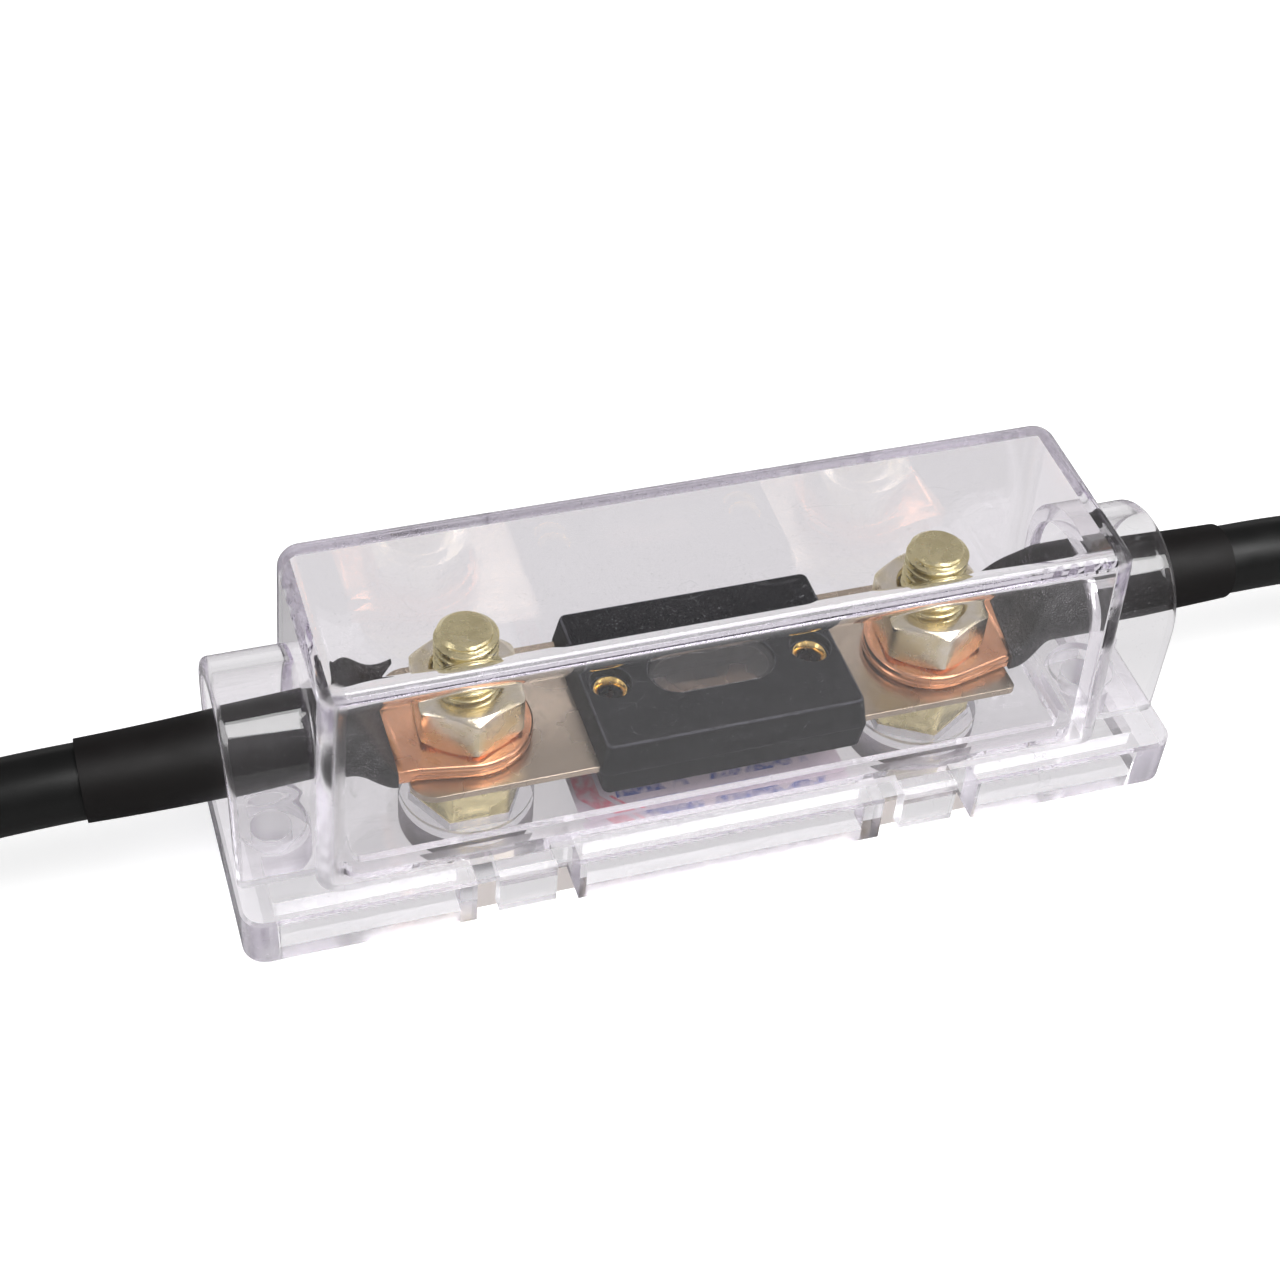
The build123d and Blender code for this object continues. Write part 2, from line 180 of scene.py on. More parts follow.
def show(name: str, mesh: bpy.types.Mesh, sharp_angle: float) -> bpy.types.Object:
    """Links a mesh to the scene as a smooth piece.

    Args:
        name: The piece's name.
        mesh: Its mesh.
        sharp_angle: The angle, in degrees, past which an edge stays sharp.

    Returns:
        The new object.
    """
    mesh.polygons.foreach_set("use_smooth", np.ones(len(mesh.polygons), dtype=bool))
    mesh.set_sharp_from_angle(angle=radians(sharp_angle))
    piece = bpy.data.objects.new(name, mesh)
    bpy.context.scene.collection.objects.link(piece)
    return piece


def welded_copy(
    source: bpy.types.Object, name: str, edge: float, sharp_angle: float = 25.0
) -> bpy.types.Object:
    """Copies a CAD node's mesh, welds its loose triangles and rounds its edges.

    Args:
        source: The CAD node's object.
        name: The new piece's name.
        edge: The width in millimetres of the rounding on sharp edges.
        sharp_angle: The angle, in degrees, past which an edge counts as sharp.

    Returns:
        The new piece.
    """
    mesh = source.data.copy()
    mesh.materials.clear()
    welded = bmesh.new()
    welded.from_mesh(mesh)
    bmesh.ops.remove_doubles(welded, verts=welded.verts, dist=CAD_WELD_DISTANCE)
    bmesh.ops.dissolve_limit(
        welded, angle_limit=radians(FLAT_ANGLE), verts=welded.verts, edges=welded.edges
    )
    welded.to_mesh(mesh)
    welded.free()
    stale = mesh.attributes.get("custom_normal")
    if stale is not None:
        mesh.attributes.remove(stale)
    piece = show(name, mesh, sharp_angle)
    bevel = piece.modifiers.new("edge", "BEVEL")
    bevel.width = edge * MM
    bevel.segments = 2
    bevel.limit_method = "ANGLE"
    bevel.angle_limit = radians(sharp_angle)
    bevel.harden_normals = False
    weigh_normals(piece)
    return piece


def plain_copy(source: bpy.types.Object, name: str) -> bpy.types.Object:
    """Copies a CAD node's mesh as it is, with the smooth normals of its rounded faces.

    Args:
        source: The CAD node's object.
        name: The new piece's name.

    Returns:
        The new piece.
    """
    mesh = source.data.copy()
    mesh.materials.clear()
    piece = bpy.data.objects.new(name, mesh)
    bpy.context.scene.collection.objects.link(piece)
    return piece


def weigh_normals(piece: bpy.types.Object) -> None:
    """Keeps wide faces flat beside their rounded edges.

    Args:
        piece: The piece that gets the modifier.
    """
    weighted = piece.modifiers.new("flat", "WEIGHTED_NORMAL")
    weighted.keep_sharp = True
    weighted.weight = 80


def smooth_step(values: np.ndarray) -> np.ndarray:
    """A ramp from 0 to 1 with flat ends: 3 t squared minus 2 t cubed."""
    clipped = np.clip(values, 0, 1)
    return clipped * clipped * (3 - 2 * clipped)


def circle_angles(steps: int = ROUND_STEPS) -> np.ndarray:
    """Even angles round a full turn, the last one a step short of the first."""
    return np.arange(steps) * TURN / steps


def turned(profile: np.ndarray, centre: tuple[float, float] = (0.0, 0.0)) -> np.ndarray:
    """Carries a profile of radius and height once round an upright axis.

    Args:
        profile: Rows of radius and height, either one pair a row or one pair for each angle.
        centre: X and Y of the axis.

    Returns:
        The surface as rows, columns and X, Y, Z.
    """
    angles = circle_angles()
    size = (len(profile), len(angles))
    radius, height = (
        np.broadcast_to(profile[..., column].reshape(len(profile), -1), size) for column in (0, 1)
    )
    across = centre[0] + radius * np.cos(angles)
    away = centre[1] + radius * np.sin(angles)
    return np.stack([across, away, height], axis=-1)


# Materials


class Tree:
    """A small helper that adds shader nodes to one material or surround and joins them."""

    def __init__(self, owner: bpy.types.Material | bpy.types.World, output: str) -> None:
        """Empties the owner's nodes and starts with an output and its coordinates.

        Args:
            owner: The material or the world.
            output: The output node's Blender type.
        """
        owner.use_nodes = True
        self.owner = owner
        self.nodes = owner.node_tree.nodes
        self.nodes.clear()
        self.output = self.nodes.new(output)
        self.coordinates = self.add("ShaderNodeTexCoord").outputs
        self.place = self.coordinates["Object"]

    @classmethod
    def of_material(cls, name: str) -> "Tree":
        """Starts a new, empty material."""
        return cls(bpy.data.materials.new(name), "ShaderNodeOutputMaterial")

    def add(self, kind: str, settings: dict | None = None, **inputs: object) -> bpy.types.Node:
        """Adds a node, sets its options and sets or joins its inputs.

        Args:
            kind: The node's Blender type.
            settings: Options set on the node itself.
            inputs: Input names, with underscores for spaces, and a value or a socket for each.

        Returns:
            The new node.
        """
        node = self.nodes.new(kind)
        for option, value in (settings or {}).items():
            setattr(node, option, value)
        for label, value in inputs.items():
            self.feed(node.inputs[label.replace("_", " ")], value)
        return node

    def feed(self, socket: Socket, value: object) -> None:
        """Joins a socket to another one, or sets its constant.

        Args:
            socket: The input.
            value: A socket, a number, or a colour of three numbers.
        """
        if isinstance(value, bpy.types.NodeSocket):
            self.owner.node_tree.links.new(value, socket)
        elif isinstance(value, tuple) and len(value) == 3 and socket.type == "RGBA":
            socket.default_value = (*value, 1.0)
        else:
            socket.default_value = value

    def math(self, operation: str, first: object, second: object = 0.0, clamp: bool = False) -> Socket:
        """One arithmetic step on two values.

        Args:
            operation: Blender's name for it.
            first: A number or a socket.
            second: A number or a socket.
            clamp: Whether the result is kept between 0 and 1.

        Returns:
            The result's socket.
        """
        node = self.add("ShaderNodeMath", {"operation": operation, "use_clamp": clamp})
        self.feed(node.inputs[0], first)
        self.feed(node.inputs[1], second)
        return node.outputs[0]

    def noise(self, scale: float, detail: float = 3.0, stretch: Colour = (1, 1, 1)) -> Socket:
        """Noise on the piece's own coordinates.

        Args:
            scale: Its frequency, in waves a metre.
            detail: How many finer layers it has.
            stretch: Factors on X, Y and Z.

        Returns:
            The noise value's socket.
        """
        mapping = self.add("ShaderNodeMapping", Vector=self.place, Scale=stretch)
        node = self.add("ShaderNodeTexNoise", Vector=mapping.outputs[0], Scale=scale, Detail=detail)
        return node.outputs["Fac"]

    def parts(self, vector: Socket) -> tuple[Socket, Socket, Socket]:
        """Splits a vector into X, Y and Z."""
        return tuple(self.add("ShaderNodeSeparateXYZ", Vector=vector).outputs)

    def spread(
        self,
        value: Socket,
        source: Span,
        result: tuple[object, object] = (0.0, 1.0),
        smooth: bool = False,
    ) -> Socket:
        """Maps one range of a value onto another, with its ends held.

        Args:
            value: The value's socket.
            source: The range that it is read over.
            result: What the range's two ends become.
            smooth: Whether the ramp is flat at both ends instead of straight.

        Returns:
            The result's socket.
        """
        node = self.add(
            "ShaderNodeMapRange",
            {"interpolation_type": "SMOOTHSTEP" if smooth else "LINEAR"},
            Value=value, From_Min=source[0], From_Max=source[1], To_Min=result[0], To_Max=result[1],
        )
        return node.outputs[0]

    def mix(self, factor: object, first: Socket, second: Socket) -> Socket:
        """Mixes two shaders: the first at factor 0, the second at 1.

        Args:
            factor: A number or a socket.
            first: A shader's socket.
            second: Another shader's socket.

        Returns:
            The mixed shader's socket.
        """
        node = self.add("ShaderNodeMixShader")
        for socket, value in zip(node.inputs, (factor, first, second)):
            self.feed(socket, value)
        return node.outputs[0]

    def blend(self, factor: object, first: object, second: object) -> Socket:
        """Mixes two colours: the first at factor 0, the second at 1.

        Args:
            factor: A number or a socket.
            first: A colour or a socket.
            second: A colour or a socket.

        Returns:
            The mixed colour's socket.
        """
        node = self.add("ShaderNodeMix", {"data_type": "RGBA"})
        self.feed(node.inputs[0], factor)
        self.feed(node.inputs[6], first)
        self.feed(node.inputs[7], second)
        return node.outputs[2]

    def bump(self, height: Socket, distance: float, strength: float = 0.5) -> Socket:
        """A normal bent by a height.

        Args:
            height: The height's socket.
            distance: Its full height in millimetres.
            strength: How much of it shows.

        Returns:
            The normal's socket.
        """
        node = self.add("ShaderNodeBump", Height=height, Strength=strength, Distance=distance * MM)
        return node.outputs[0]

    def finish(self, shader: Socket) -> bpy.types.Material | bpy.types.World:
        """Joins the last shader to the surface and hands the owner over."""
        self.feed(self.output.inputs["Surface"], shader)
        return self.owner


@dataclass(frozen=True)
class ClearPlastic:
    """Injection-moulded clear plastic: a faint tint, fine rubbing marks and dust."""

    name: str = "clear_plastic"
    tint: Colour = (0.990, 0.977, 0.990)
    lamp_tint: Colour = (0.93, 0.93, 0.94)
    absorbed: Colour = (0.80, 0.74, 0.86)
    density: float = 18.0
    refraction: float = 1.57
    roughness: float = 0.02
    speck_scale: float = 2600.0
    speck_range: Span = (0.70, 0.78)
    hair_scale: float = 75.0
    hair_stretch: Colour = (1, 2.2, 1.4)
    hair_width: float = 0.0035
    patch_scale: float = 60.0
    patch_range: Span = (0.52, 0.66)
    film_colour: Colour = (0.92, 0.92, 0.94)
    film_share: float = 0.15

    def make(self) -> bpy.types.Material:
        """Builds the material.

        A hair is where noise is next to its middle value, in patches of a second noise.

        Returns:
            Glass with light marks, which lets lamps through to what it holds.
        """
        tree = Tree.of_material(self.name)
        speck = tree.spread(tree.noise(self.speck_scale, 1.0), self.speck_range)
        off_middle = tree.math("SUBTRACT", tree.noise(self.hair_scale, 2.0, self.hair_stretch), 0.5)
        hair = tree.spread(tree.math("ABSOLUTE", off_middle), (0.0, self.hair_width), (1, 0))
        patch = tree.spread(tree.noise(self.patch_scale, 2.0), self.patch_range)
        marks = tree.math("MAXIMUM", speck, tree.math("MULTIPLY", hair, patch), clamp=True)
        skin = tree.add("ShaderNodeAttribute", {"attribute_name": "skin"}).outputs["Fac"]
        glass = tree.add(
            "ShaderNodeBsdfPrincipled",
            Base_Color=self.tint,
            Roughness=tree.math("MAXIMUM", skin, self.roughness),
            IOR=self.refraction,
            Transmission_Weight=1.0,
        )
        film = tree.add("ShaderNodeBsdfDiffuse", Color=self.film_colour)
        shown = tree.math("MULTIPLY", marks, self.film_share)
        marked = tree.mix(shown, glass.outputs[0], film.outputs[0])
        through = tree.add("ShaderNodeBsdfTransparent", Color=self.lamp_tint)
        path = tree.add("ShaderNodeLightPath")
        lit = tree.mix(path.outputs["Is Shadow Ray"], marked, through.outputs[0])
        inside = tree.add("ShaderNodeVolumeAbsorption", Color=self.absorbed, Density=self.density)
        tree.feed(tree.output.inputs["Volume"], inside.outputs[0])
        return tree.finish(lit)


@dataclass(frozen=True)
class Metal:
    """A plated or bare metal with patches of a second tone and fine marks.

    Where there is a dark band, the tone is dark below its first height in millimetres and
    clears away up to its second, so the piece is darker towards its bottom.
    """

    name: str
    colour: Colour
    patch_colour: Colour
    roughness: float
    patch_scale: float = 400.0
    patch_range: Span = (0.38, 0.66)
    grain_scale: float = 3000.0
    grain_stretch: Colour = (1, 1, 1)
    grain_depth: float = 0.02
    roughness_swing: float = 0.12
    dark_band: Span | None = None
    dark_band_colour: Colour = (0.07, 0.045, 0.035)

    def make(self) -> bpy.types.Material:
        """Builds the material.

        Returns:
            A metal whose tone and gloss change a little over its surface.
        """
        tree = Tree.of_material(self.name)
        patch = tree.spread(tree.noise(self.patch_scale), self.patch_range)
        colour = tree.blend(patch, self.colour, self.patch_colour)
        # Darker below a height: dark under the first height, clearing up to the second.
        if self.dark_band:
            low, high = self.dark_band
            above_dark_band = tree.spread(tree.parts(tree.place)[2], (low * MM, high * MM))
            colour = tree.blend(above_dark_band, self.dark_band_colour, colour)
        grain = tree.noise(self.grain_scale, stretch=self.grain_stretch)
        gloss = tree.spread(patch, (0, 1), (self.roughness, self.roughness + self.roughness_swing))
        shader = tree.add(
            "ShaderNodeBsdfPrincipled",
            Base_Color=colour,
            Metallic=1.0,
            Roughness=gloss,
            Normal=tree.bump(grain, self.grain_depth),
        )
        return tree.finish(shader.outputs[0])


@dataclass(frozen=True)
class Moulded:
    """A dark, pigmented plastic or rubber with pale specks and a fine skin.

    Specks can be kept within a reach of the holder's middle. A painted highlight, where it has a
    colour, lies on the rounded edges, faces that neither look straight up or down nor stand
    upright, broken into patches by noise.
    """

    name: str
    colour: Colour
    speck_colour: Colour
    roughness: float
    speck_scale: float = 2600.0
    speck_floor: float = 0.64
    speck_fade: float = 0.1
    cloud_scale: float = 220.0
    cloud_range: Span = (0.35, 0.7)
    skin_scale: float = 1800.0
    skin_depth: float = 0.03
    roughness_swing: float = 0.1
    sheen: float = 0.5
    dusty_reach: float = 0.0
    edge_colour: Colour | None = None
    edge_leaning: Span = (0.45, 0.62)
    edge_level: Span = (0.93, 0.985)
    highlight_patch_scale: float = 700.0
    highlight_patch_range: Span = (0.3, 0.6)
    least_highlight: float = 0.35

    def make(self) -> bpy.types.Material:
        """Builds the material.

        Returns:
            A dark skin with specks and a low sheen.
        """
        tree = Tree.of_material(self.name)
        speck_range = (self.speck_floor, self.speck_floor + self.speck_fade)
        specks = tree.spread(tree.noise(self.speck_scale, 2.0), speck_range)
        cloud = tree.spread(tree.noise(self.cloud_scale), self.cloud_range)
        amount = tree.math("MULTIPLY", specks, cloud)
        if self.dusty_reach:
            along = tree.math("ABSOLUTE", tree.parts(tree.place)[0])
            within = tree.math("LESS_THAN", along, self.dusty_reach * MM)
            amount = tree.math("MULTIPLY", amount, within)
        colour = tree.blend(amount, self.colour, self.speck_colour)
        # Painted highlight: the rounded edges are lightened, broken into patches by noise.
        if self.edge_colour:
            upward = tree.math("ABSOLUTE", tree.parts(tree.coordinates["Normal"])[2])
            leaning = tree.spread(upward, self.edge_leaning)
            rounded = tree.math("MULTIPLY", leaning, tree.spread(upward, self.edge_level, (1, 0)))
            highlight_noise = tree.noise(self.highlight_patch_scale)
            highlight_patches = tree.spread(highlight_noise, self.highlight_patch_range, (self.least_highlight, 1))
            colour = tree.blend(tree.math("MULTIPLY", rounded, highlight_patches), colour, self.edge_colour)
        skin = tree.noise(self.skin_scale)
        gloss = tree.spread(cloud, (0, 1), (self.roughness, self.roughness + self.roughness_swing))
        shader = tree.add(
            "ShaderNodeBsdfPrincipled",
            Base_Color=colour,
            Roughness=gloss,
            Specular_IOR_Level=self.sheen,
            Normal=tree.bump(skin, self.skin_depth),
        )
        return tree.finish(shader.outputs[0])


@dataclass(frozen=True)
class PrintedFilm:
    """The label film under the deck: a plain red band and smudged blue rows on a pale ground.

    The red band has an upright stroke, an angled stroke and a thin line inside that one. Their
    ends are in millimetres, along X or Y, or along X plus a share of Y where they slant.
    """

    name: str = "printed_film"
    ground: Colour = (0.74, 0.66, 0.70)
    red: Colour = (0.78, 0.22, 0.27)
    blue: Colour = (0.10, 0.13, 0.42)
    roughness: float = 0.45
    slant: float = 0.8
    upright_across: Span = (-17.5, -14.6)
    upright_along: Span = (-5.2, 9.0)
    angled_across: Span = (-21.6, -18.8)
    angled_along: Span = (-9.6, -5.2)
    inner_across: Span = (-18.0, -17.5)
    inner_along: Span = (-9.6, -5.6)
    lower_row: Span = (-9.4, -7.3)
    upper_row: Span = (-6.2, -3.9)
    row_reach: Span = (-12.5, 15.5)
    smudge_scale: float = 230.0
    smudge_stretch: Colour = (1, 0.7, 1)
    smudge_range: Span = (0.46, 0.50)
    wear_scale: float = 900.0
    wear_range: Span = (0.35, 0.62)
    least_ink: float = 0.25

    def band(self, tree: Tree, value: Socket, ends: Span) -> Socket:
        """1 where a length in metres lies between two millimetre marks, else 0.

        Args:
            tree: The film's nodes.
            value: The length's socket.
            ends: The two marks.

        Returns:
            The result's socket.
        """
        above = tree.math("GREATER_THAN", value, ends[0] * MM)
        below = tree.math("LESS_THAN", value, ends[1] * MM)
        return tree.math("MULTIPLY", above, below)

    def patch(
        self, tree: Tree, across: Socket, across_ends: Span, along: Socket, along_ends: Span
    ) -> Socket:
        """1 inside a patch of the film, else 0: the product of two bands.

        Args:
            tree: The film's nodes.
            across: The length across the patch.
            across_ends: Where the patch starts and ends on it.
            along: The length along the patch.
            along_ends: Where the patch starts and ends on it.

        Returns:
            The result's socket.
        """
        first = self.band(tree, across, across_ends)
        return tree.math("MULTIPLY", first, self.band(tree, along, along_ends))

    def make(self) -> bpy.types.Material:
        """Builds the material.

        Returns:
            A film with an angled red band at one end and smudged blue rows along its edge.
        """
        tree = Tree.of_material(self.name)
        x, y, _ = tree.parts(tree.place)
        slanted = tree.math("ADD", x, tree.math("MULTIPLY", y, self.slant))
        upright = self.patch(tree, x, self.upright_across, y, self.upright_along)
        angled = self.patch(tree, slanted, self.angled_across, y, self.angled_along)
        inner = self.patch(tree, slanted, self.inner_across, y, self.inner_along)
        red = tree.math("MAXIMUM", tree.math("MAXIMUM", upright, angled), inner)
        cloud = tree.noise(self.smudge_scale, 1.5, self.smudge_stretch)
        smudges = tree.spread(cloud, self.smudge_range)
        lower, upper = self.band(tree, y, self.lower_row), self.band(tree, y, self.upper_row)
        smudged = tree.math("MULTIPLY", smudges, tree.math("MAXIMUM", lower, upper))
        blue = tree.math("MULTIPLY", smudged, self.band(tree, x, self.row_reach))
        worn = tree.spread(tree.noise(self.wear_scale), self.wear_range, (self.least_ink, 1.0))
        colour = tree.blend(tree.math("MULTIPLY", red, worn), self.ground, self.red)
        colour = tree.blend(tree.math("MULTIPLY", blue, worn), colour, self.blue)
        shader = tree.add("ShaderNodeBsdfPrincipled", Base_Color=colour, Roughness=self.roughness)
        return tree.finish(shader.outputs[0])


class Finishes:
    """One material for each finish, made once and shared by the pieces."""

    def __init__(self) -> None:
        """Makes every material."""
        self.clear = ClearPlastic().make()
        self.window = ClearPlastic(
            name="window_plastic", tint=(0.62, 0.57, 0.55), absorbed=(0.8, 0.75, 0.7), density=160.0
        ).make()
        self.zinc = Metal(
            "yellow_zinc", (0.74, 0.66, 0.38), (0.56, 0.49, 0.27), 0.2,
            patch_scale=420, grain_depth=0.045,
        ).make()
        self.nut_zinc = Metal(
            "nut_zinc", (0.74, 0.68, 0.57), (0.66, 0.57, 0.36), 0.19,
            patch_scale=300, grain_depth=0.035,
        ).make()
        self.blade = Metal(
            "tinned_blade", (0.46, 0.385, 0.30), (0.36, 0.30, 0.235), 0.21,
            patch_scale=120, grain_scale=900, grain_stretch=(0.3, 3, 1), grain_depth=0.012,
        ).make()
        self.copper = Metal(
            "lug_copper", (0.82, 0.44, 0.26), (0.64, 0.31, 0.17), 0.16,
            patch_scale=180, grain_scale=700, grain_stretch=(0.4, 3, 1), grain_depth=0.012,
        ).make()
        self.brass = Metal(
            "eyelet_brass", (0.90, 0.66, 0.26), (0.72, 0.48, 0.16), 0.18, dark_band=(18.7, 19.35)
        ).make()
        # The fuse moulding carries a painted highlight on its rounded edges.
        self.moulding = Moulded(
            "fuse_moulding", (0.006, 0.006, 0.007), (0.16, 0.16, 0.17), 0.5,
            speck_scale=3600, speck_floor=0.62, sheen=0.08, edge_colour=(0.075, 0.075, 0.085),
        ).make()
        self.sleeve = Moulded(
            "shrink_sleeve", (0.009, 0.0075, 0.0075), (0.50, 0.48, 0.50), 0.5,
            speck_scale=7500, speck_floor=0.59, skin_depth=0.02, sheen=0.35, dusty_reach=52.0,
        ).make()
        self.jacket = Moulded(
            "cable_jacket", (0.010, 0.010, 0.010), (0.014, 0.014, 0.014), 0.3, skin_depth=0.006
        ).make()
        self.label = PrintedFilm().make()


# Pieces


@dataclass
class Piece:
    """A finished piece, the body it rides on, its slot's name and the CAD nodes that it hides."""

    thing: bpy.types.Object
    body: Body
    slot: str
    replaced: Sequence[str] = ()

    def settle(self, material: bpy.types.Material) -> None:
        """Dresses the piece and ties it to its body.

        Args:
            material: Its finish.
        """
        self.thing.data.materials.clear()
        self.thing.data.materials.append(material)
        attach(self.thing, self.body.value)
        if self.replaced:
            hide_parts(*self.replaced)
        logger.info("%s: %s, slot %s", self.thing.name, self.body.value, self.slot)


def hexagon(angles: np.ndarray, across_flats: float, turn: float, corner: float) -> np.ndarray:
    """The radius of a hexagon at each angle: half its width over the cosine to the nearest flat.

    Args:
        angles: Directions from its middle.
        across_flats: Its width from flat to flat.
        turn: The direction of one flat, in degrees.
        corner: How much the corners are pulled in.

    Returns:
        A radius for each angle.
    """
    to_flat = (angles - radians(turn) + pi / 6) % (pi / 3) - pi / 6
    radius = across_flats / 2 / np.cos(to_flat)
    return np.minimum(radius, across_flats / sqrt(3) - corner)


@dataclass
class Stud:
    """A plated stud: a hexagonal collar in the base and a threaded end above the blade."""

    side: Side
    across_flats: float = 13.0
    corner: float = 0.18
    collar_bottom: float = 4.6
    collar_top: float = 15.9
    chamfer_height: float = 0.35
    chamfer_share: float = 0.96
    overlap: float = 0.02
    thread_bottom: float = 24.4
    top: float = 32.1
    radius: float = 4.0
    pitch: float = 1.25
    thread_depth: float = 0.74
    crest_share: float = 0.22
    flank_share: float = 0.62
    run_out: float = 0.8
    flat_radius: float = 3.06
    lead_angle: float = 42.0
    rows_per_turn: int = 18

    @property
    def collar_turn(self) -> float:
        """The direction of one of the collar's flats, in degrees."""
        return 90.0 if self.side is Side.LEFT else 60.0

    def thread(self) -> np.ndarray:
        """The threaded end: radius falls into a groove whose height climbs a pitch each turn.

        Returns:
            Rows of radius and height for every angle, cut by a cone at the top.
        """
        turns = (self.top - self.thread_bottom) / self.pitch
        height = np.linspace(self.thread_bottom, self.top, int(turns * self.rows_per_turn))[:, None]
        phase = (height / self.pitch - circle_angles()[None, :] / TURN) % 1.0
        groove = smooth_step((np.abs(2 * phase - 1) - self.crest_share) / self.flank_share)
        radius = self.radius - self.thread_depth * (1 - groove)
        cone = self.flat_radius + (self.top - height) / tan(radians(self.lead_angle))
        climbed = smooth_step((height - self.thread_bottom) / self.run_out)
        radius = np.minimum(np.maximum(radius, self.radius - self.thread_depth * climbed), cone)
        return np.stack([radius, np.broadcast_to(height, radius.shape)], axis=-1)

    def make(self, finishes: Finishes) -> None:
        """Builds the stud and dresses it.

        Args:
            finishes: The shared materials.
        """
        flats = hexagon(circle_angles(), self.across_flats, self.collar_turn, self.corner)
        shank = np.full_like(flats, self.radius)
        collar_end = self.collar_top - self.overlap
        rows = [
            (flats * self.chamfer_share, self.collar_bottom),
            (flats, self.collar_bottom + self.chamfer_height),
            (flats, self.collar_top - self.chamfer_height),
            (flats * self.chamfer_share, collar_end),
            (shank, collar_end),
            (shank, self.thread_bottom - self.overlap),
        ]
        smooth = np.stack([
            np.stack([radius, np.full_like(radius, height)], axis=-1) for radius, height in rows
        ])
        centre = (self.side.value * STUD_SPACING / 2, 0.0)
        shell = Shell()
        numbers = shell.grid(turned(np.concatenate([smooth, self.thread()]), centre))
        shell.close(numbers[0])
        shell.close(numbers[-1])
        piece = shell.build(f"{self.side.label}_threaded_stud", sharp_angle=32)
        Piece(piece, Body.HOLDER, "zinc_steel", (f"{self.side.label}_stud",)).settle(finishes.zinc)


@dataclass
class Nut:
    """A plated hexagon nut, chamfered on both faces."""

    side: Side
    across_flats: float = 13.0
    corner: float = 0.12
    bottom: float = 19.1
    height: float = 6.5
    face_radius: float = 6.15
    chamfer_angle: float = 30.0
    rim_inset: float = 0.12
    rim_rise: float = 0.03
    face_rounding: float = 0.1
    bore: float = 4.05
    countersink: float = 0.5
    turn: float = 56.0

    def make(self, finishes: Finishes) -> None:
        """Builds the nut: its rim follows the line where a cone meets the hexagon's flats.

        Args:
            finishes: The shared materials.
        """
        flats = hexagon(circle_angles(), self.across_flats, self.turn, self.corner)
        drop = (flats - self.face_radius) * tan(radians(self.chamfer_angle))
        top = self.bottom + self.height
        rounding = self.face_rounding
        steady = np.ones_like(flats)
        rows = [
            (self.bore * steady, self.bottom * steady),
            (self.face_radius * steady, self.bottom * steady),
            (flats - self.rim_inset, self.bottom + drop - self.rim_rise),
            (flats, self.bottom + drop + self.rim_inset),
            (flats, top - drop - self.rim_inset),
            (flats - self.rim_inset, top - drop + self.rim_rise),
            ((self.face_radius + 0.6 * rounding) * steady, (top - rounding / 2) * steady),
            ((self.face_radius - rounding) * steady, top * steady),
            ((self.bore + self.countersink) * steady, top * steady),
            (self.bore * steady, (top - self.countersink) * steady),
        ]
        profile = np.stack([np.stack(row, axis=-1) for row in rows])
        shell = Shell()
        shell.grid(turned(profile, (self.side.value * STUD_SPACING / 2, 0.0)), round_rows=True)
        piece = shell.build(f"{self.side.label}_hexagon_nut", sharp_angle=32)
        Piece(piece, Body.HOLDER, "zinc_steel", (f"{self.side.label}_nut",)).settle(finishes.nut_zinc)


@dataclass
class StripFuse:
    """The strip fuse: link, two moulded shells, a window and two rolled eyelets."""

    frame: dict
    middle: float = 1.05
    eyelet_spacing: float = 26.8
    flange: float = 2.3
    throat: float = 1.3
    barrel: float = 1.7
    bowl_depth: float = 1.7
    bowl_inset: float = 0.35
    roll_radius: float = 0.22
    roll_foot: float = 0.46
    bend_points: int = 9
    top: float = 19.7
    bottom: float = 13.7
    link_edge: float = 0.1
    shell_edge: float = 0.32
    pane_edge: float = 0.15

    def eyelet_profile(self) -> np.ndarray:
        """The eyelet's cut: a bowl that rolls over at each end and narrows to its throat.

        Up the bowl the radius grows as the share climbed to the power 2.2, and the height as
        that share to the power 0.8. The roll is most of a circle at the flange.

        Returns:
            Rows of radius and height, closed from the last to the first.
        """
        climbed = np.linspace(0, 1, self.bend_points)
        bowl = self.throat + (self.flange - self.bowl_inset - self.throat) * climbed**2.2
        inner_top = np.stack([bowl, self.top - self.bowl_depth * (1 - climbed**0.8)], axis=-1)
        roll = np.linspace(pi * 3 / 4, -pi / 2, self.bend_points)
        circle = np.stack([np.cos(roll), np.sin(roll)], axis=-1) - (1, 1)
        lip = np.array([self.flange, self.top]) + self.roll_radius * circle
        foot = self.roll_foot
        wall = np.array([[self.barrel, self.top - foot], [self.barrel, self.bottom + foot]])
        upper = np.concatenate([inner_top, lip])
        lower = upper[::-1].copy()
        lower[:, 1] = self.top + self.bottom - lower[:, 1]
        return np.concatenate([upper, wall, lower])

    def make(self, finishes: Finishes) -> None:
        """Builds every piece of the fuse and dresses it.

        Args:
            finishes: The shared materials.
        """
        nodes = self.frame["nodes"]
        link = welded_copy(nodes["fuse_link"], "stamped_link", self.link_edge)
        Piece(link, Body.HOLDER, "blade_metal", ("fuse_link",)).settle(finishes.blade)
        for part in ("lower", "upper"):
            node = f"fuse_{part}_shell"
            shell = welded_copy(nodes[node], f"{part}_moulding", self.shell_edge)
            Piece(shell, Body.HOLDER, "fuse_moulding", (node,)).settle(finishes.moulding)
        pane = welded_copy(nodes["fuse_window"], "window_pane", self.pane_edge)
        Piece(pane, Body.HOLDER, "window_plastic", ("fuse_window",)).settle(finishes.window)
        for side in Side:
            centre = (self.middle + side.value * self.eyelet_spacing / 2, 0.0)
            eyelet = Shell()
            eyelet.grid(turned(self.eyelet_profile(), centre), round_rows=True)
            piece = eyelet.build(f"{side.label}_rolled_eyelet")
            Piece(piece, Body.HOLDER, "eyelet_brass", (f"{side.label}_eyelet",)).settle(finishes.brass)


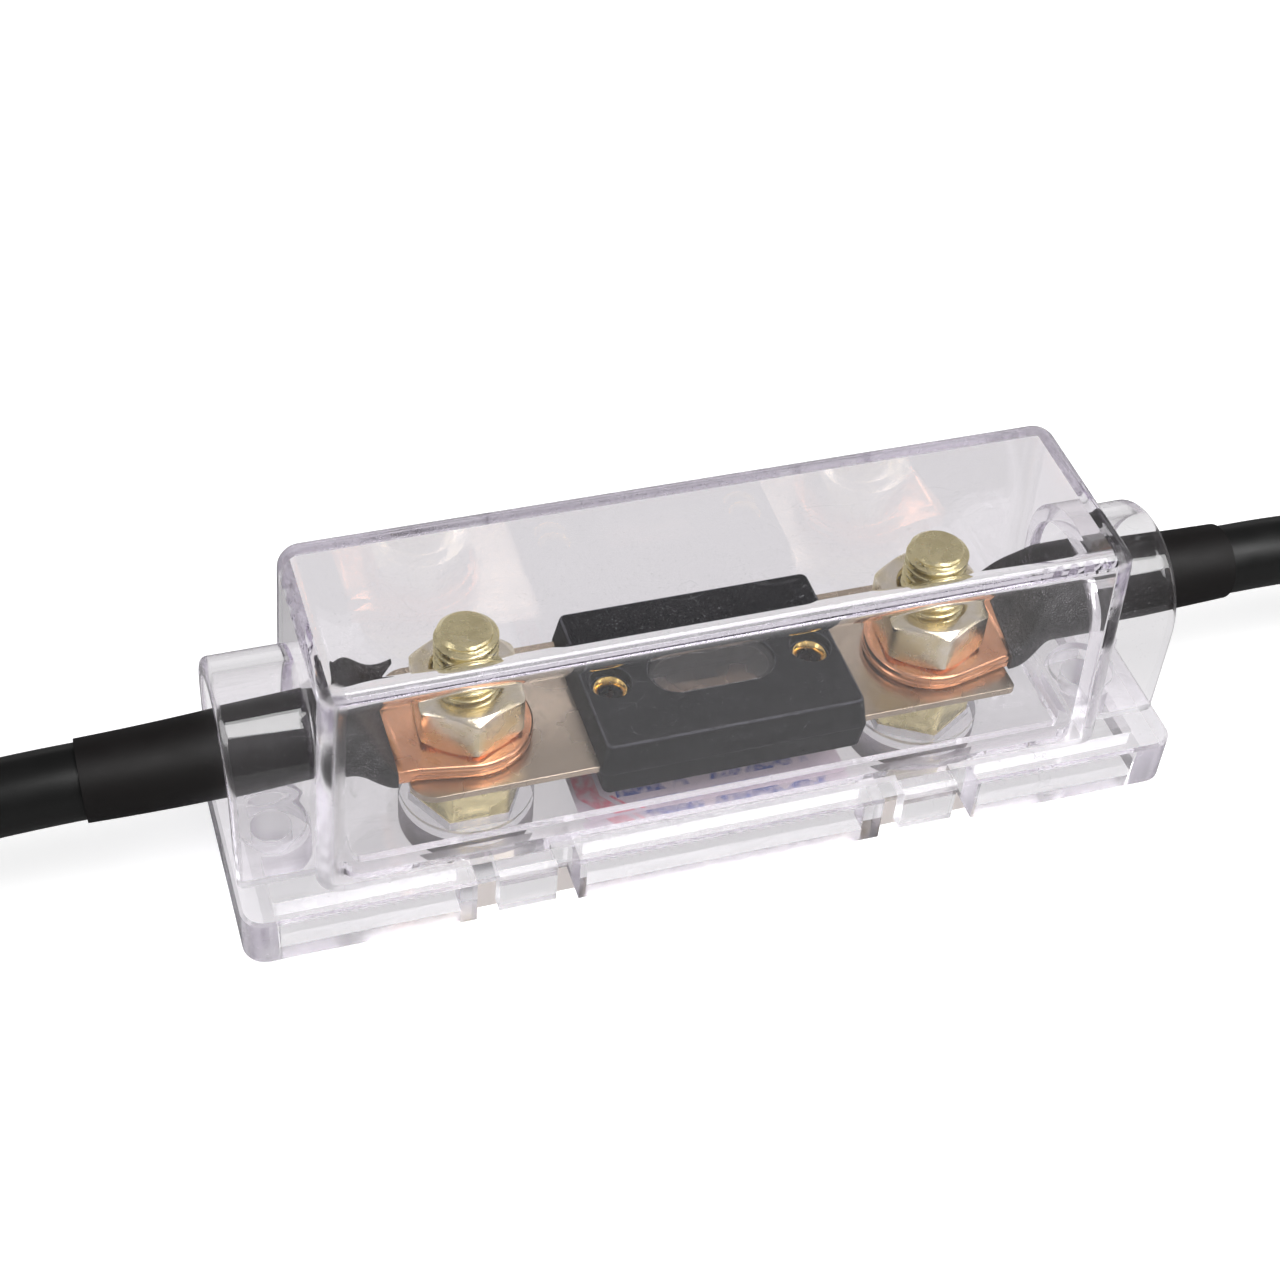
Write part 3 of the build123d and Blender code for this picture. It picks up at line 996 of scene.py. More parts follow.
@dataclass
class Lug:
    """A copper tube lug in its own frame: the eye at the origin, the barrel along its X."""

    eye: tuple[float, float, float]
    turn: float
    name: str
    palm_radius: float = 8.2
    thickness: float = 2.2
    hole: float = 4.2
    rim: float = 0.6
    seam: float = 0.16
    shoulder: float = 8.8
    neck: float = 9.6
    neck_overlap: float = 1.2
    neck_half_width: float = 6.4
    neck_squareness: float = 5.0
    flare: float = 7.0
    barrel: float = 4.8
    end: float = 28.5
    rim_points: int = 6
    neck_rows: int = 24

    def to_world(self, local: np.ndarray) -> np.ndarray:
        """Turns and moves points from the lug's frame to the holder's.

        Args:
            local: Points whose last axis is X, Y and Z.

        Returns:
            The moved points.
        """
        angle = radians(self.turn)
        x = local[..., 0] * cos(angle) - local[..., 1] * sin(angle) + self.eye[0]
        y = local[..., 0] * sin(angle) + local[..., 1] * cos(angle) + self.eye[1]
        return np.stack([x, y, local[..., 2] + self.eye[2]], axis=-1)

    def palm_outline(self, angles: np.ndarray) -> np.ndarray:
        """The palm's radius at each angle: a circle, then its tangent line, then the neck's side.

        Args:
            angles: Directions from the eye, 0 towards the barrel.

        Returns:
            A radius for each angle.
        """
        away = np.abs((angles + pi) % TURN - pi)
        shoulder_angle = atan2(self.neck_half_width, self.shoulder)
        tangent = shoulder_angle + acos(self.palm_radius / hypot(self.shoulder, self.neck_half_width))
        line = self.palm_radius / np.cos(np.minimum(away, tangent) - tangent)
        least = 1e-3
        end = (self.neck + self.neck_overlap) / np.maximum(np.cos(away), least)
        side = self.neck_half_width / np.maximum(np.sin(away), least)
        return np.select(
            [away < shoulder_angle, away < tangent], [np.minimum(side, end), line], self.palm_radius
        )

    def sections(self, along: np.ndarray, grow: float = 0.0) -> tuple[np.ndarray, ...]:
        """Half width, half height, middle height and squareness of the neck at each place.

        Over the flare each goes from the palm's value to the barrel's by a smooth step.

        Args:
            along: Distances from the eye.
            grow: How far the section stands outside the copper.

        Returns:
            The four values, each as an array.
        """
        share = smooth_step((along - self.neck) / self.flare)
        half_width = self.neck_half_width + (self.barrel - self.neck_half_width) * share
        middle = self.thickness / 2 + (self.barrel - self.thickness / 2) * share
        squareness = 2 + self.neck_squareness * (1 - share) ** 2
        return half_width + grow, middle + grow, middle, squareness

    def build(self) -> bpy.types.Object:
        """Builds the palm and the neck as two closed shells in one mesh.

        The palm's rim has a quarter round at its top and its foot, and a fine groove along its
        middle: the seam of the tube that was pressed flat.

        Returns:
            The lug's object.
        """
        angles = circle_angles()
        outline = self.palm_outline(angles)
        middle, centre = self.thickness / 2, self.thickness - self.rim
        quarter = np.linspace(0, pi / 2, self.rim_points)
        rim = [(self.rim * (1 - sin(a)), centre + self.rim * cos(a)) for a in quarter]
        rim += [(0.0, middle + self.seam), (self.seam, middle)]
        rim += [(inset, self.thickness - height) for inset, height in rim[-2::-1]]
        hole = np.full_like(angles, self.hole)
        circuit = [(outline - inset, height) for inset, height in rim]
        circuit = [(hole, self.thickness), *circuit, (hole, 0.0)]
        rows = np.stack([
            np.stack([radius, np.full_like(angles, height)], axis=-1) for radius, height in circuit
        ])
        shell = Shell()
        shell.grid(self.to_world(turned(rows)), round_rows=True)
        start = self.neck - self.neck_overlap / 2
        along = np.append(np.linspace(start, self.neck + self.flare, self.neck_rows), self.end)
        tube = shell.grid(self.to_world(tube_rows(along, self.sections(along))))
        shell.close(tube[0])
        shell.close(tube[-1])
        return shell.build(self.name)


def tube_rows(along: np.ndarray, sections: tuple[np.ndarray, ...]) -> np.ndarray:
    """Squared ellipses stacked along X, each with its own size, height and squareness.

    Args:
        along: X of each section.
        sections: Half width, half height, middle height and squareness, one of each a section.

    Returns:
        The surface as rows, columns and X, Y, Z.
    """
    half_width, half_height, middle, power = (values[:, None] for values in sections)
    angles = circle_angles()[None, :]
    across = np.sign(np.cos(angles)) * np.abs(np.cos(angles)) ** (2 / power)
    upward = np.sign(np.sin(angles)) * np.abs(np.sin(angles)) ** (2 / power)
    x = np.broadcast_to(along[:, None], across.shape)
    return np.stack([x, half_width * across, middle + half_height * upward], axis=-1)


@dataclass
class Lead:
    """One lead: near lug and sleeve, cable, and far lug and sleeve.

    Swing turns the near lug about its stud, in degrees. Tail is how far past the lug the near
    sleeve reaches, palm_gap how far from the lug's neck it starts, slant how much that edge
    leans, and curl how far its torn lip stands up. The lip's place and the widths of its hump
    and its spike are angles round the sleeve. The cable's length, in metres, is not used.
    """

    side: Side
    swing: float
    route: Sequence[tuple[float, float, float]]
    tail: float
    palm_gap: float
    slant: float
    curl: float
    cable_radius: float = 4.65
    sleeve_wall: float = 0.65
    tail_thinning: float = 0.35
    lip_thinning: float = 0.35
    lip_place: float = 140.0
    lip_widths: Span = (24.0, 15.0)
    lip_across: float = 0.5
    lip_upward: float = 0.9
    hump_place: float = 3.4
    hump_reach: float = 2.4
    hump_height: float = 0.85
    edge_reach: float = 2.0
    edge_height: float = 0.45
    spike_height: float = 0.45
    spike_lean: float = 0.95
    barrel_step: float = 0.15
    wrinkle: float = 0.002
    wrinkle_rate: float = 0.6
    neck_rows: int = 40
    tail_rows: int = 16
    blade_top: float = 16.9
    end_tail: float = 7.0
    end_curl: float = 0.3
    length: float = 0.133

    @property
    def name(self) -> str:
        """The side's name, which starts each piece's name."""
        return self.side.label

    def make_cable(self) -> bpy.types.Object:
        """Builds the cable as one smooth spline through its route's control points.

        Returns:
            The cable's curve object.
        """
        curve = bpy.data.curves.new(f"{self.name}_lead_cable", "CURVE")
        curve.dimensions = "3D"
        spline = curve.splines.new("NURBS")
        spline.points.add(len(self.route) - 1)
        for point, place in zip(spline.points, self.route):
            point.co = (*(value * MM for value in place), 1.0)
        spline.order_u = 3
        spline.use_endpoint_u = True
        curve.resolution_u = 24
        curve.bevel_depth = self.cable_radius * MM
        curve.bevel_resolution = 12
        curve.use_fill_caps = True
        cable = bpy.data.objects.new(curve.name, curve)
        bpy.context.scene.collection.objects.link(cable)
        return cable

    def centreline(self, cable: bpy.types.Object) -> np.ndarray:
        """Reads the spline's own line, in millimetres, with no thickness.

        Args:
            cable: The cable's curve object.

        Returns:
            Points along it, from the near lug to the far one.
        """
        bare = cable.data.copy()
        bare.bevel_depth = 0
        bare.use_fill_caps = False
        probe = bpy.data.objects.new("probe", bare)
        bpy.context.scene.collection.objects.link(probe)
        line = bpy.data.meshes.new_from_object(probe)
        places = np.empty(len(line.vertices) * 3)
        line.vertices.foreach_get("co", places)
        bpy.data.objects.remove(probe)
        bpy.data.meshes.remove(line)
        bpy.data.curves.remove(bare)
        return places.reshape(-1, 3) / MM

    def rings(self, line: np.ndarray, length: float, radius: np.ndarray) -> np.ndarray:
        """Rings along the first stretch of a line, each square to it.

        Args:
            line: Points of the line.
            length: How far along it the rings go.
            radius: Each ring's radius.

        Returns:
            The surface as rows, columns and X, Y, Z.
        """
        steps = np.linalg.norm(np.diff(line, axis=0), axis=1)
        walked = np.concatenate([[0.0], np.cumsum(steps)])
        stops = np.linspace(0, length, len(radius) + 1)[1:]
        look_ahead = 0.5
        middle, ahead = (
            np.stack([np.interp(places, walked, line[:, axis]) for axis in range(3)], axis=-1)
            for places in (stops, stops + look_ahead)
        )
        heading = (ahead - middle) / np.linalg.norm(ahead - middle, axis=1, keepdims=True)
        right = np.cross(np.array([0.0, 0.0, 1.0]), heading)
        right /= np.linalg.norm(right, axis=1, keepdims=True)
        upward = np.cross(heading, right)
        angles = circle_angles()[None, :, None]
        outward = np.cos(angles) * right[:, None] + np.sin(angles) * upward[:, None]
        return middle[:, None] + radius[:, None, None] * outward

    def torn_lip(self, past: np.ndarray, curl: float) -> np.ndarray:
        """How far the torn lip lifts the sleeve, and how far it draws the edge back.

        A hump, a bell curve round and along the sleeve, stands behind the edge and fades up to
        it. A narrower spike stands at the edge, dies away behind it, and leans to the palm.

        Args:
            past: Distances from the sleeve's edge.
            curl: How far the lip stands up.

        Returns:
            The lift and the lean for each distance and angle.
        """
        turn = (circle_angles()[None, :] - radians(self.lip_place) + pi) % TURN - pi
        hump, spike = (np.exp(-((turn / radians(width)) ** 2)) for width in self.lip_widths)
        edge = np.exp(-past / self.edge_reach)[:, None]
        behind = np.exp(-(((past - self.hump_place) / self.hump_reach) ** 2))[:, None]
        hump = hump * (self.edge_height * edge + self.hump_height * behind)
        spike = spike * edge**2
        return np.stack([curl * (hump + self.spike_height * spike), self.spike_lean * curl * spike])

    def make_sleeve(
        self, lug: Lug, line: np.ndarray, tail: float, name: str, curl: float
    ) -> bpy.types.Object:
        """Builds a shrunk sleeve over a lug's neck and barrel and the cable's first stretch.

        Its two skins are squared ellipses round the lug and circles round the cable. The outer
        one's width swells by a sum of two sines round it times a sine along it.

        Args:
            lug: The lug it covers.
            line: The cable's line, starting at the lug.
            tail: How far past the lug it reaches.
            name: The piece's name.
            curl: How far the torn lip at its palm end stands up.

        Returns:
            The sleeve's object.
        """
        start = lug.neck + self.palm_gap
        along = start + (lug.end - start) * np.linspace(0, 1, self.neck_rows) ** 1.3
        angles = circle_angles()
        edge = np.exp(-(along - start) / self.edge_reach)
        lift, lean = self.torn_lip(along - start, curl)
        two_waves, five_waves = np.sin(2 * angles + 1.1), np.sin(5 * angles + 0.4)
        ripple = two_waves + 0.6 * five_waves
        swell = 1 + self.wrinkle * ripple[None, :] * np.sin(along[:, None] * self.wrinkle_rate)
        fade = np.linspace(0, 1, self.tail_rows)
        skins = []
        for wall, step, swelling in ((self.sleeve_wall, self.barrel_step, swell), (0.0, 0.0, 1.0)):
            neck = tube_rows(along, lug.sections(along, wall * (1 - self.lip_thinning * edge)))
            neck[..., 0] += edge[:, None] * self.slant * neck[..., 1] - lean
            neck[..., 1] += self.lip_across * np.cos(angles) * lift
            neck[..., 2] += self.lip_upward * lift
            neck[..., 1] *= swelling
            radius = self.cable_radius + wall * (1 - self.tail_thinning * fade) + step * (1 - fade)
            skins.append(np.concatenate([lug.to_world(neck), self.rings(line, tail, radius)]))
        outer, inner = skins
        shell = Shell()
        shell.grid(np.concatenate([outer, inner[::-1]]), round_rows=True)
        return shell.build(name, sharp_angle=50)

    def make(self, finishes: Finishes) -> None:
        """Args:
            finishes: The shared materials.
        """
        sign = self.side.value
        outward, inward = (0, 180) if self.side is Side.RIGHT else (180, 0)
        stud = (sign * STUD_SPACING / 2, 0.0, self.blade_top)
        near = Lug(stud, outward + self.swing, f"{self.name}_ring_lug")
        end = self.route[-1]
        far_eye = (end[0] + sign * near.end, end[1], end[2] - near.barrel)
        far = Lug(far_eye, inward, f"{self.name}_far_ring_lug")
        for lug, node in ((near, f"{self.name}_lug"), (far, f"{self.name}_end_lug")):
            Piece(lug.build(), Body.HOLDER, "lug_copper", (node,)).settle(finishes.copper)
        cable = self.make_cable()
        Piece(cable, Body.HOLDER, "cable_jacket", (f"{self.name}_cable",)).settle(finishes.jacket)
        line = self.centreline(cable)
        sleeve = self.make_sleeve(near, line, self.tail, f"{self.name}_near_sleeve", self.curl)
        far_sleeve = self.make_sleeve(
            far, line[::-1], self.end_tail, f"{self.name}_far_sleeve", self.end_curl
        )
        for thing, node in ((sleeve, "heat_shrink"), (far_sleeve, "end_heat_shrink")):
            Piece(thing, Body.HOLDER, "sleeve_black", (f"{self.name}_{node}",)).settle(finishes.sleeve)
        strands = bpy.data.objects[f"{self.name}_end_conductor"]
        far_lug = bpy.data.objects[far.name]
        tuple(value * MM for value in self.route[0])


def rounded_rectangle(half_length: float, half_width: float, corner: float, steps: int) -> np.ndarray:
    """The outline of a rectangle with round corners: a quarter circle about each corner's middle.

    Args:
        half_length: Half its size along X.
        half_width: Half its size along Y.
        corner: The corners' radius.
        steps: Straight pieces in each quarter circle.

    Returns:
        X and Y of each point, once round.
    """
    angles = (np.linspace(0, pi / 2, steps + 1)[None, :] + np.arange(4)[:, None] * pi / 2).ravel()
    quarter = np.repeat(np.arange(4), steps + 1)
    x_side = np.where((quarter == 0) | (quarter == 3), 1, -1)
    y_side = np.where(quarter < 2, 1, -1)
    x = x_side * (half_length - corner) + corner * np.cos(angles)
    y = y_side * (half_width - corner) + corner * np.sin(angles)
    return np.stack([x, y], axis=-1)


class Skin(Enum):
    """The skins of a clear moulding, each with its roughness: polished, softened and matt."""

    WALL = 0.0
    EDGE = 0.25
    FOOT = 0.6


# In degrees: an edge's normal is further than this from every axis.
LEANING_ANGLE = 4.0

# A foot's normal has a Z below the first value and its middle is less than a depth, in
# millimetres, above the moulding's foot. An upright face's normal has a Z within the last value.
FOOT_NORMAL = -0.9
FOOT_DEPTH = 0.1
UPRIGHT_NORMAL = 0.5


def mark_skins(
    mesh: bpy.types.Mesh,
    foot: float,
    edge_places: Sequence[tuple[float, float, float]],
    softness: float = 1.0,
    bosses: Sequence[tuple[float, float]] = (),
) -> None:
    """Gives each face of a clear moulding its skin.

    A face is a foot where it looks down at the foot's height, or stands upright round a boss.
    It is an edge where its normal leans from every axis and its middle lies past one of the
    places in X, Y and Z. The rest is wall.

    Args:
        mesh: The moulding's mesh, in metres.
        foot: The height of its feet in millimetres.
        edge_places: Least distances from the middle in X and Y and least height, in millimetres.
        softness: What the roughness is multiplied by, away from the bosses.
        bosses: Each pair of bosses' distance from the middle along X, and its radius.
    """
    count = len(mesh.polygons)
    normals, centres = np.empty(count * 3), np.empty(count * 3)
    mesh.polygons.foreach_get("normal", normals)
    mesh.polygons.foreach_get("center", centres)
    normals = normals.reshape(-1, 3)
    centres = centres.reshape(-1, 3) / MM
    leaning = np.abs(normals).max(axis=1) < cos(radians(LEANING_ANGLE))
    away = np.abs(centres)
    away[:, 2] = centres[:, 2]
    placed = np.any([np.all(away > np.array(place), axis=1) for place in edge_places], axis=0)
    skins = np.where(leaning & placed, Skin.EDGE.value, Skin.WALL.value) * softness
    at_foot = (normals[:, 2] < FOOT_NORMAL) & (centres[:, 2] < foot + FOOT_DEPTH)
    skins = np.where(at_foot, Skin.FOOT.value * softness, skins)
    upright = np.abs(normals[:, 2]) < UPRIGHT_NORMAL
    for place, radius in bosses:
        near = np.hypot(away[:, 0] - place, away[:, 1]) < radius
        skins = np.where(near & upright, Skin.FOOT.value, skins)
    mesh.attributes.new("skin", "FLOAT", "FACE").data.foreach_set("value", skins.astype(np.float32))


def capped(rows: Sequence[np.ndarray], name: str) -> bpy.types.Object:
    """Joins rings of points into a solid with a flat face at each end.

    Args:
        rows: The rings, from one end to the other.
        name: The solid's name.

    Returns:
        The closed solid.
    """
    shell = Shell()
    numbers = shell.grid(np.stack(rows))
    shell.cap(numbers[0])
    shell.cap(numbers[-1])
    return shell.build(name)


@dataclass
class ClearCover:
    """The clear cover: a drafted box and an arch through it, hollowed, with four snap clips.

    Lift is the hair's breadth that keeps its feet off the base, so that no two clear faces
    share a place.
    """

    length: float = 105.0
    width: float = 29.3
    foot: float = 7.1
    top: float = 39.95
    wall: float = 2.2
    top_wall: float = 2.8
    end_draft: float = 1.3
    side_draft: float = 0.5
    corner: float = 3.0
    inner_corner: float = 0.4
    top_edge: float = 2.6
    arch_reach: float = 61.9
    arch_radius: float = 11.0
    arch_axis: float = 20.8
    arch_spread: float = 0.2
    arch_edge: float = 0.9
    clip_x: float = 27.0
    clip_width: float = 7.4
    clip_face: float = 17.35
    clip_thickness: float = 1.9
    clip_foot: float = 0.6
    lift: float = 0.03
    foot_step: float = 0.01
    least_corner: float = 0.3
    tool_reach: float = 1.0
    corner_steps: int = 28
    bend_steps: int = 96
    arch_edge_steps: int = 9
    edge_inset: float = 0.8
    inner_edge: tuple[float, float, float] = (49.0, 11.6, 0.0)

    def block(
        self, wall: float, top: float, corner: float, edge: float, foot: float
    ) -> bpy.types.Object:
        """One drafted box: its outline shrinks with height, and rolls over at its top edge.

        At a height h above the start of the top edge's rounding, the outline is pulled in by the
        edge's radius less the root of that radius squared minus h squared.

        Args:
            wall: How far its sides are moved in.
            top: Its top's height.
            corner: The radius of its upright corners.
            edge: The radius of its top edge, or 0.
            foot: Its lowest height.

        Returns:
            The closed box.
        """
        rise = np.sin(np.linspace(0, pi / 2, self.corner_steps + 1)) * edge if edge else [0.0]
        heights = [foot, self.foot + self.foot_step, *(top - edge + step for step in rise)]
        rows = []
        for height in heights:
            share = max(height - self.foot, 0.0) / (top - self.foot)
            above = min(max(height - (top - edge), 0.0), edge)
            pulled = edge - sqrt(max(edge * edge - above * above, 0.0))
            outline = rounded_rectangle(
                self.length / 2 - wall - share * self.end_draft - pulled,
                self.width / 2 - wall - share * self.side_draft - pulled,
                max(corner - pulled, self.least_corner),
                self.corner_steps,
            )
            rows.append(np.column_stack([outline, np.full(len(outline), height)]))
        return capped(rows, "block")

    def arch(self, wall: float, reach: float, edge: float, foot: float) -> bpy.types.Object:
        """The tunnels' arch: a half circle on slightly spread legs, carried along X.

        Towards each end the profile is pulled in by the edge's radius less its cosine share.

        Args:
            wall: How far the profile is moved in.
            reach: Half its length.
            edge: The radius of its end edges, or 0.
            foot: Its lowest height.

        Returns:
            The closed arch.
        """
        bend = np.linspace(0, pi, self.bend_steps + 1)
        turn = np.linspace(0, pi / 2, self.arch_edge_steps + 1) if edge else [pi / 2]
        ends = [(reach - edge * (1 - sin(a)), edge * (1 - cos(a))) for a in turn]
        stations = [(-x, inset) for x, inset in reversed(ends)] + ends
        rows = []
        for x, inset in stations:
            radius = self.arch_radius - wall - inset
            leg = radius + self.arch_spread
            across = np.concatenate([[leg], radius * np.cos(bend), [-leg]])
            height = np.concatenate([[foot], self.arch_axis + radius * np.sin(bend), [foot]])
            rows.append(np.column_stack([np.full(len(across), x), across, height]))
        return capped(rows, "arch")

    def clip(self, x: float, side: int) -> bpy.types.Object:
        """One snap clip: an L that leaves the wall's foot and hangs down.

        Args:
            x: Its middle along X.
            side: 1 for the back wall and -1 for the front one.

        Returns:
            The closed clip.
        """
        root = self.width / 2 - self.wall
        inner = self.clip_face - self.clip_thickness
        shelf = self.foot - self.clip_thickness
        profile = np.array([
            (root, self.foot), (self.clip_face, self.foot), (self.clip_face, self.clip_foot),
            (inner, self.clip_foot), (inner, shelf), (root, shelf),
        ])
        across, height = side * profile[:, 0], profile[:, 1]
        ends = (x - self.clip_width / 2, x + self.clip_width / 2)
        rows = [np.column_stack([np.full(len(across), end), across, height]) for end in ends]
        return capped(rows, "clip")

    def build(self) -> bpy.types.Object:
        """Joins and hollows the solids.

        Returns:
            The cover.
        """
        cover = self.block(0.0, self.top, self.corner, self.top_edge, self.foot)
        ceiling, below = self.top - self.top_wall, self.foot - self.tool_reach
        steps = [
            ("UNION", self.arch(0.0, self.arch_reach, self.arch_edge, self.foot)),
            ("DIFFERENCE", self.block(self.wall, ceiling, self.inner_corner, 0.0, below)),
            ("DIFFERENCE", self.arch(self.wall, self.length, 0.0, below)),
        ]
        for x in (-self.clip_x, self.clip_x):
            steps += [("UNION", self.clip(x, side)) for side in (-1, 1)]
        for number, (operation, tool) in enumerate(steps):
            cut = cover.modifiers.new(f"step{number}", "BOOLEAN")
            cut.operation = operation
            cut.solver = "EXACT"
            cut.object = tool
        bpy.context.view_layer.update()
        finished = cover.evaluated_get(bpy.context.evaluated_depsgraph_get())
        mesh = bpy.data.meshes.new_from_object(finished)
        for thing in (cover, *(tool for _, tool in steps)):
            bpy.data.objects.remove(thing)
        mesh.transform(Matrix.Translation((0, 0, self.lift * MM)))
        mesh.name = "clear_cover"
        piece = show("clear_cover", mesh, sharp_angle=24)
        end_edge = (self.arch_reach - self.edge_inset, 0, 0)
        mark_skins(mesh, self.foot, [(0, 0, ceiling), self.inner_edge, end_edge])
        weigh_normals(piece)
        return piece


@dataclass
class Box:
    """The clear base and cover, and the label under the deck."""

    frame: dict
    base_softness: float = 0.4
    corner_edge: tuple[float, float, float] = (58.0, 13.0, -1.0)
    side_edge: tuple[float, float, float] = (0.0, 16.5, 6.0)
    end_edge: tuple[float, float, float] = (61.5, 0.0, 6.0)
    stud_boss_radius: float = 12.0
    screw_place: float = 56.0
    screw_boss_radius: float = 5.0
    label_size: tuple[float, float, float] = (36.0, 20.0, 0.18)
    label_corner: float = 1.5
    label_top: float = 4.57

    def make_label(self) -> bpy.types.Object:
        """Builds the label: a thin sheet with round corners.

        Returns:
            The label.
        """
        length, width, thickness = self.label_size
        angles = circle_angles()
        corner = self.label_corner
        x = np.sign(np.cos(angles)) * (length / 2 - corner) + corner * np.cos(angles)
        y = np.sign(np.sin(angles)) * (width / 2 - corner) + corner * np.sin(angles)
        heights = (self.label_top - thickness, self.label_top)
        shell = Shell()
        numbers = shell.grid(np.stack([np.column_stack([x, y, np.full(len(x), z)]) for z in heights]))
        shell.close(numbers[0])
        shell.close(numbers[-1])
        return shell.build("deck_label")

    def make(self, finishes: Finishes) -> None:
        """Builds the clear mouldings and the label, and dresses them.

        Args:
            finishes: The shared materials.
        """
        base = plain_copy(self.frame["nodes"]["base"], "clear_base")
        edges = [self.corner_edge, self.side_edge, self.end_edge]
        bosses = [(STUD_SPACING / 2, self.stud_boss_radius), (self.screw_place, self.screw_boss_radius)]
        mark_skins(base.data, 0.0, edges, self.base_softness, bosses)
        for thing, body, slot, node, finish in (
            (base, Body.HOLDER, "clear_plastic", "base", finishes.clear),
            (ClearCover().build(), Body.COVER, "clear_plastic", "cover", finishes.clear),
            (self.make_label(), Body.HOLDER, "label_film", "base_label", finishes.label),
        ):
            Piece(thing, body, slot, (node,)).settle(finish)


# Studio


@dataclass(frozen=True)
class Lamp:
    """One soft rectangular lamp that looks at a point, in metres and watts."""

    name: str
    place: tuple[float, float, float]
    aim: tuple[float, float, float]
    size: tuple[float, float]
    power: float

    def make(self) -> None:
        """Adds the lamp to the scene."""
        light = bpy.data.lights.new(self.name, "AREA")
        light.shape = "RECTANGLE"
        light.size, light.size_y = self.size
        light.energy = self.power
        lamp = bpy.data.objects.new(self.name, light)
        lamp.location = self.place
        heading = Vector(self.aim) - Vector(self.place)
        lamp.rotation_euler = heading.to_track_quat("-Z", "Y").to_euler()
        bpy.context.scene.collection.objects.link(lamp)


